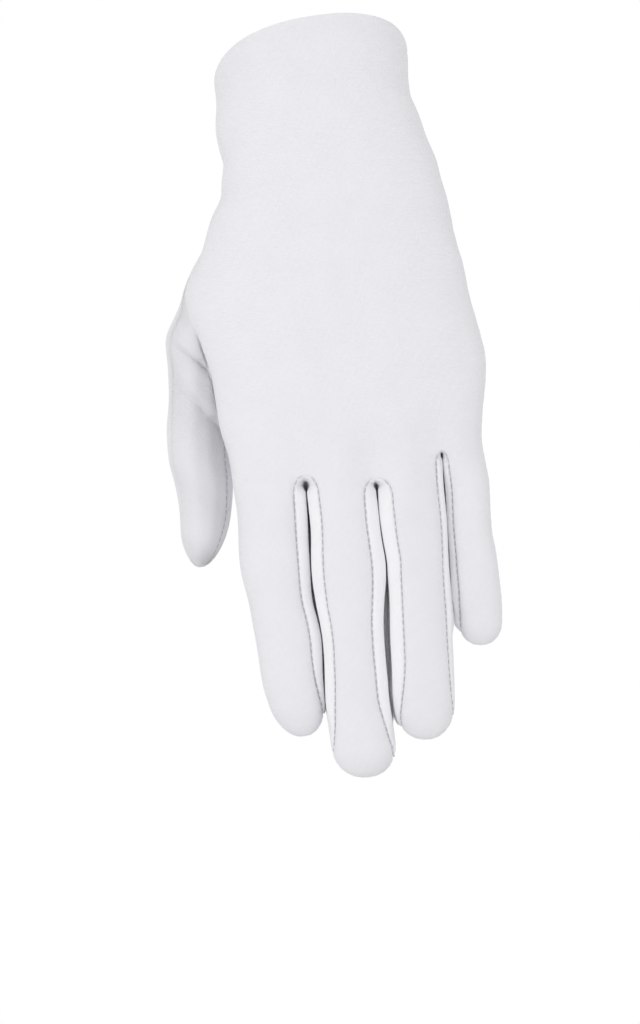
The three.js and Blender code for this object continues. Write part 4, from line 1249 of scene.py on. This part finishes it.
class Nodes:
    """Short ways to add the nodes of a material or of the surround."""

    def __init__(self, owner, shader="Principled BSDF"):
        owner.use_nodes = True
        self.owner = owner
        self.tree = owner.node_tree
        self.shader = self.tree.nodes[shader]

    def add(self, kind, **settings):
        node = self.tree.nodes.new(kind)
        for name, value in settings.items():
            setattr(node, name, value)
        return node

    def feed(self, socket, value):
        if hasattr(value, "is_linked"):
            self.tree.links.new(value, socket)
        else:
            socket.default_value = value

    def math(self, operation, *values):
        node = self.add("ShaderNodeMath", operation=operation)
        for socket, value in zip(node.inputs, values):
            self.feed(socket, value)
        return node.outputs[0]

    def noise(self, vector, scale, detail):
        node = self.add("ShaderNodeTexNoise")
        self.feed(node.inputs["Vector"], vector)
        node.inputs["Scale"].default_value = scale
        node.inputs["Detail"].default_value = detail
        return node.outputs["Fac"]

    def bump(self, height, distance, strength=1.0, normal=None):
        node = self.add("ShaderNodeBump")
        node.inputs["Strength"].default_value = strength
        node.inputs["Distance"].default_value = distance
        self.feed(node.inputs["Height"], height)
        if normal is not None:
            self.feed(node.inputs["Normal"], normal)
        return node.outputs["Normal"]

    def colour_and_painted_shade(self, colour, shade):
        """The colour of the surface, lighter and darker by a shade round 1, which carries random
        tone and painted shade.
        """
        node = self.add("ShaderNodeVectorMath", operation="SCALE")
        node.inputs[0].default_value = colour
        self.feed(node.inputs["Scale"], shade)
        self.feed(self.shader.inputs["Base Color"], node.outputs[0])

    def finish(self):
        for socket, value in FINISH.items():
            self.shader.inputs[socket].default_value = value
        return self.owner


def knit_height(nodes):
    """Rows of V-shaped loops, from the cloth's own coordinates."""
    place = nodes.add("ShaderNodeSeparateXYZ")
    nodes.feed(place.inputs[0], nodes.add("ShaderNodeUVMap", uv_map="cloth").outputs[0])
    wale = nodes.math("DIVIDE", place.outputs[0], WALE)
    across = nodes.math("PINGPONG", wale, 0.5)
    leg = nodes.math("SINE", nodes.math("MULTIPLY", across, 2 * math.pi))
    course = nodes.math("DIVIDE", place.outputs[1], COURSE)
    slanted = nodes.math("ADD", course, nodes.math("MULTIPLY", across, LOOP_SLANT))
    loop = nodes.math("SINE", nodes.math("MULTIPLY", slanted, 2 * math.pi))
    strands = nodes.math("MULTIPLY_ADD", loop, 0.25, 0.75)
    return nodes.math("MULTIPLY", leg, strands)


def knit(name, colour):
    """Fine white knit: loops, a little fluff and slight unevenness of colour, with painted shade in
    the hollows between the loops.
    """
    nodes = Nodes(bpy.data.materials.new(name))
    height = knit_height(nodes)
    where = nodes.add("ShaderNodeTexCoord").outputs["Object"]
    fluff = nodes.noise(where, FLUFF_SCALE, 2)
    patches = nodes.noise(where, PATCH_SCALE, 3)
    patchy = nodes.math("MULTIPLY_ADD", patches, PATCH_CONTRAST, PATCH_SHADE)
    # Painted shade: the colour follows the loops' height and is darker in the hollows between them.
    painted_knit_shade = nodes.math("MULTIPLY_ADD", height, PAINTED_KNIT_SHADE_CONTRAST, PAINTED_KNIT_SHADE_BASE)
    nodes.colour_and_painted_shade(colour, nodes.math("MULTIPLY", patchy, painted_knit_shade))
    normal = nodes.bump(height, KNIT_DEPTH, KNIT_STRENGTH)
    normal = nodes.bump(fluff, FLUFF_DEPTH, 0.5, normal)
    nodes.feed(nodes.shader.inputs["Normal"], normal)
    return nodes.finish()


def thread(name, colour):
    """Twisted sewing thread, in a grey that is painted shade of the seam lines."""
    nodes = Nodes(bpy.data.materials.new(name))
    where = nodes.add("ShaderNodeTexCoord").outputs["Object"]
    twist = nodes.noise(where, TWIST_SCALE, 1)
    nodes.colour_and_painted_shade(colour, nodes.math("MULTIPLY_ADD", twist, TWIST_CONTRAST, TWIST_SHADE))
    nodes.feed(nodes.shader.inputs["Normal"], nodes.bump(twist, TWIST_DEPTH))
    return nodes.finish()


cloth_material = knit("knit_cloth", CLOTH_COLOUR)
# The fourchettes' knit with painted light: the same cloth, lighter.
fourchette_painted_light_material = knit("fourchette_cloth", FOURCHETTE_PAINTED_LIGHT_COLOUR)
# Thread painted grey: painted shade of the seam lines.
thread_painted_shade_material = thread("painted_shade_thread", THREAD_PAINTED_SHADE_COLOUR)


def dress(node, faces, places, material, slot, **wrist):
    """The cloth that stands for one node of the frame."""
    piece = make_mesh(node + "_cloth", *cloth_layers(faces, places, **wrist), material)
    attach(piece, "root")
    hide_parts(node)


hem_rows = np.unique([panels[key].ids[:HEM + 1] for key in PANELS])
wrist_row = np.unique([panels[key].ids[0] for key in PANELS])
dress("trank", trank_faces, trank_places, cloth_material, "knit_cloth",
      hem_ids=hem_rows, wrist_ids=wrist_row)
dress("thumb", thumb_faces, thumb_places, cloth_material, "knit_cloth")
for fork, (faces, places) in zip(FORKS, strip_faces):
    dress("fourchette_" + fork.name, faces, places, fourchette_painted_light_material, "fourchette_cloth")

# Stitches, sunk in the grooves of the seams, in thread painted grey as painted shade of the seam
# lines
STITCH_PITCH = 2.2
STITCH_LENGTH = 1.6
STITCH_RADIUS = 0.12
STITCH_LIFT = 0.5  # of its middle over the groove's floor, as a share of the groove's depth
STITCH_SIDES = 6
LEAST_STITCHED = 0.25  # depth of the groove below which no thread shows

# Sections of one stitch. at: share of its length from its middle. size: share of its radius.
STITCH_SECTIONS = table("at size", [
    (-0.5, 0.0),
    (-0.46, 0.6),
    (-0.34, 1.0),
    (0.34, 1.0),
    (0.46, 0.6),
    (0.5, 0.0),
])


def stitch_frames(lines):
    """Middle, direction and normal of every stitch. A stitch lies where its seam is pressed in."""
    used = np.unique(np.concatenate([faces.ravel() for faces in all_faces]))
    tree = search_tree(smooth_points[used], used.tolist())
    rows = []
    for where, length, depth in lines:
        at = np.arange(STITCH_PITCH / 2, length[-1] - STITCH_PITCH / 2, STITCH_PITCH)
        at = at[np.interp(at, length, depth) > LEAST_STITCHED]
        ends = (along_line(where, length, at + shift * STITCH_LENGTH / 2) for shift in (-1, 1))
        lift = STITCH_LIFT * np.interp(at, length, depth)
        rows.append((along_line(where, length, at), unit(np.subtract(*ends)), lift))
    middle, along, lift = joined(rows)
    nearest = np.array([tree.find(point)[1] for point in middle])
    past = ((middle - smooth_points[nearest]) * along).sum(-1, keepdims=True)
    normal = outward[nearest]
    return skin.points[nearest] + past * along + lift[:, None] * normal, along, normal


def add_stitches(name, lines):
    """One joined mesh of short threads along seam lines."""
    middle, along, normal = (vectors[:, None, None] for vectors in stitch_frames(lines))
    side = unit(np.cross(normal, along))
    up = np.cross(along, side)
    angle = (2 * math.pi * np.arange(STITCH_SIDES) / STITCH_SIDES)[:, None]
    radius = STITCH_RADIUS * STITCH_SECTIONS["size"][:, None, None]
    at = STITCH_LENGTH * STITCH_SECTIONS["at"][:, None, None]
    points = middle + at * along + radius * (side * np.cos(angle) + up * np.sin(angle))
    ids = np.arange(points[..., 0].size).reshape(points.shape[:-1])
    ids[:, [0, -1]] = ids[:, [0, -1], :1]
    ids = np.concatenate([ids, ids[..., :1]], axis=-1)
    places = np.zeros(ids.shape[1:] + (2,))
    quads, places = joined(grid_faces(one, places) for one in ids)
    piece = make_mesh(name, points.reshape(-1, 3), quads, places, thread_painted_shade_material)
    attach(piece, "root")


add_stitches("stitches_fingers", seams.forks + seams.tips)
add_stitches("stitches_side", seams.side)
add_stitches("stitches_thumb", seams.root_stitched + seams.thumb)

# Camera: square to the back of the hand, with a long lens, turned a little about its own axis
VIEW_HEIGHT = 317.4  # of the photographed frame at the glove, in mm
VIEW_CENTRE = (-7.7, -18.0, -138.4)
VIEW_DISTANCE = 2000.0
VIEW_TILT = math.radians(4.33)
SENSOR = 36.0
VIEW_REACH = 20.0


def add_camera():
    camera = put("camera", bpy.data.cameras.new("camera"))
    camera.data.sensor_fit = "AUTO"
    camera.data.sensor_width = SENSOR
    camera.data.lens = SENSOR * VIEW_DISTANCE / VIEW_HEIGHT
    camera.data.clip_end = VIEW_REACH
    cosine, sine = math.cos(VIEW_TILT), math.sin(VIEW_TILT)
    x, y, z = (value * MM for value in VIEW_CENTRE)
    camera.matrix_world = Matrix((
        (cosine, sine, 0, x),
        (0, 0, -1, y - VIEW_DISTANCE * MM),
        (-sine, cosine, 0, z),
        (0, 0, 0, 1),
    ))
    bpy.context.scene.camera = camera


def add_light(name, place, size, power):
    """A soft light that shines on the middle of the view."""
    light = bpy.data.lights.new(name, "AREA")
    light.size = size
    light.energy = power
    lamp = put(name, light)
    lamp.location = place
    aim = Vector(VIEW_CENTRE) * MM - Vector(place)
    lamp.rotation_euler = aim.to_track_quat("-Z", "Y").to_euler()


LIGHTS = [
    ("key", (-0.8, -1.1, -0.05), 0.6, 3.2),
    ("fill", (0.95, -0.9, 0.1), 0.7, 1.0),
]
FLOOR_HALF = 1.5
FLOOR_LEVEL = -0.62
FLOOR_COLOUR = (0.85, 0.85, 0.85, 1)
FLOOR_ROUGHNESS = 0.9
SURROUND_SIDES = 0.8  # brightness of the surround to the sides, above and below
SURROUND_ENDS = 0.2  # how much brighter it is before and behind the glove


def add_floor():
    corners = [(x * FLOOR_HALF, y * FLOOR_HALF, FLOOR_LEVEL)
               for x, y in ((-1, -1), (1, -1), (1, 1), (-1, 1))]
    mesh = bpy.data.meshes.new("floor")
    mesh.from_pydata(corners, [], [(0, 1, 2, 3)])
    nodes = Nodes(bpy.data.materials.new("floor_paper"))
    nodes.shader.inputs["Base Color"].default_value = FLOOR_COLOUR
    nodes.shader.inputs["Roughness"].default_value = FLOOR_ROUGHNESS
    mesh.materials.append(nodes.owner)
    put("floor", mesh)


def add_surround():
    """White surround, a little darker to the sides, so that the cloth's edges turn grey."""
    world = bpy.data.worlds.new("surround")
    nodes = Nodes(world, "Background")
    direction = nodes.add("ShaderNodeSeparateXYZ")
    nodes.feed(direction.inputs[0], nodes.add("ShaderNodeTexCoord").outputs["Generated"])
    ends = nodes.math("MULTIPLY", direction.outputs["Y"], direction.outputs["Y"])
    strength = nodes.math("MULTIPLY_ADD", ends, SURROUND_ENDS, SURROUND_SIDES)
    nodes.shader.inputs["Color"].default_value = (1, 1, 1, 1)
    nodes.feed(nodes.shader.inputs["Strength"], strength)
    bpy.context.scene.world = world
    bpy.context.scene.view_settings.view_transform = "Standard"


add_camera()
add_floor()
add_surround()
for light in LIGHTS:
    add_light(*light)
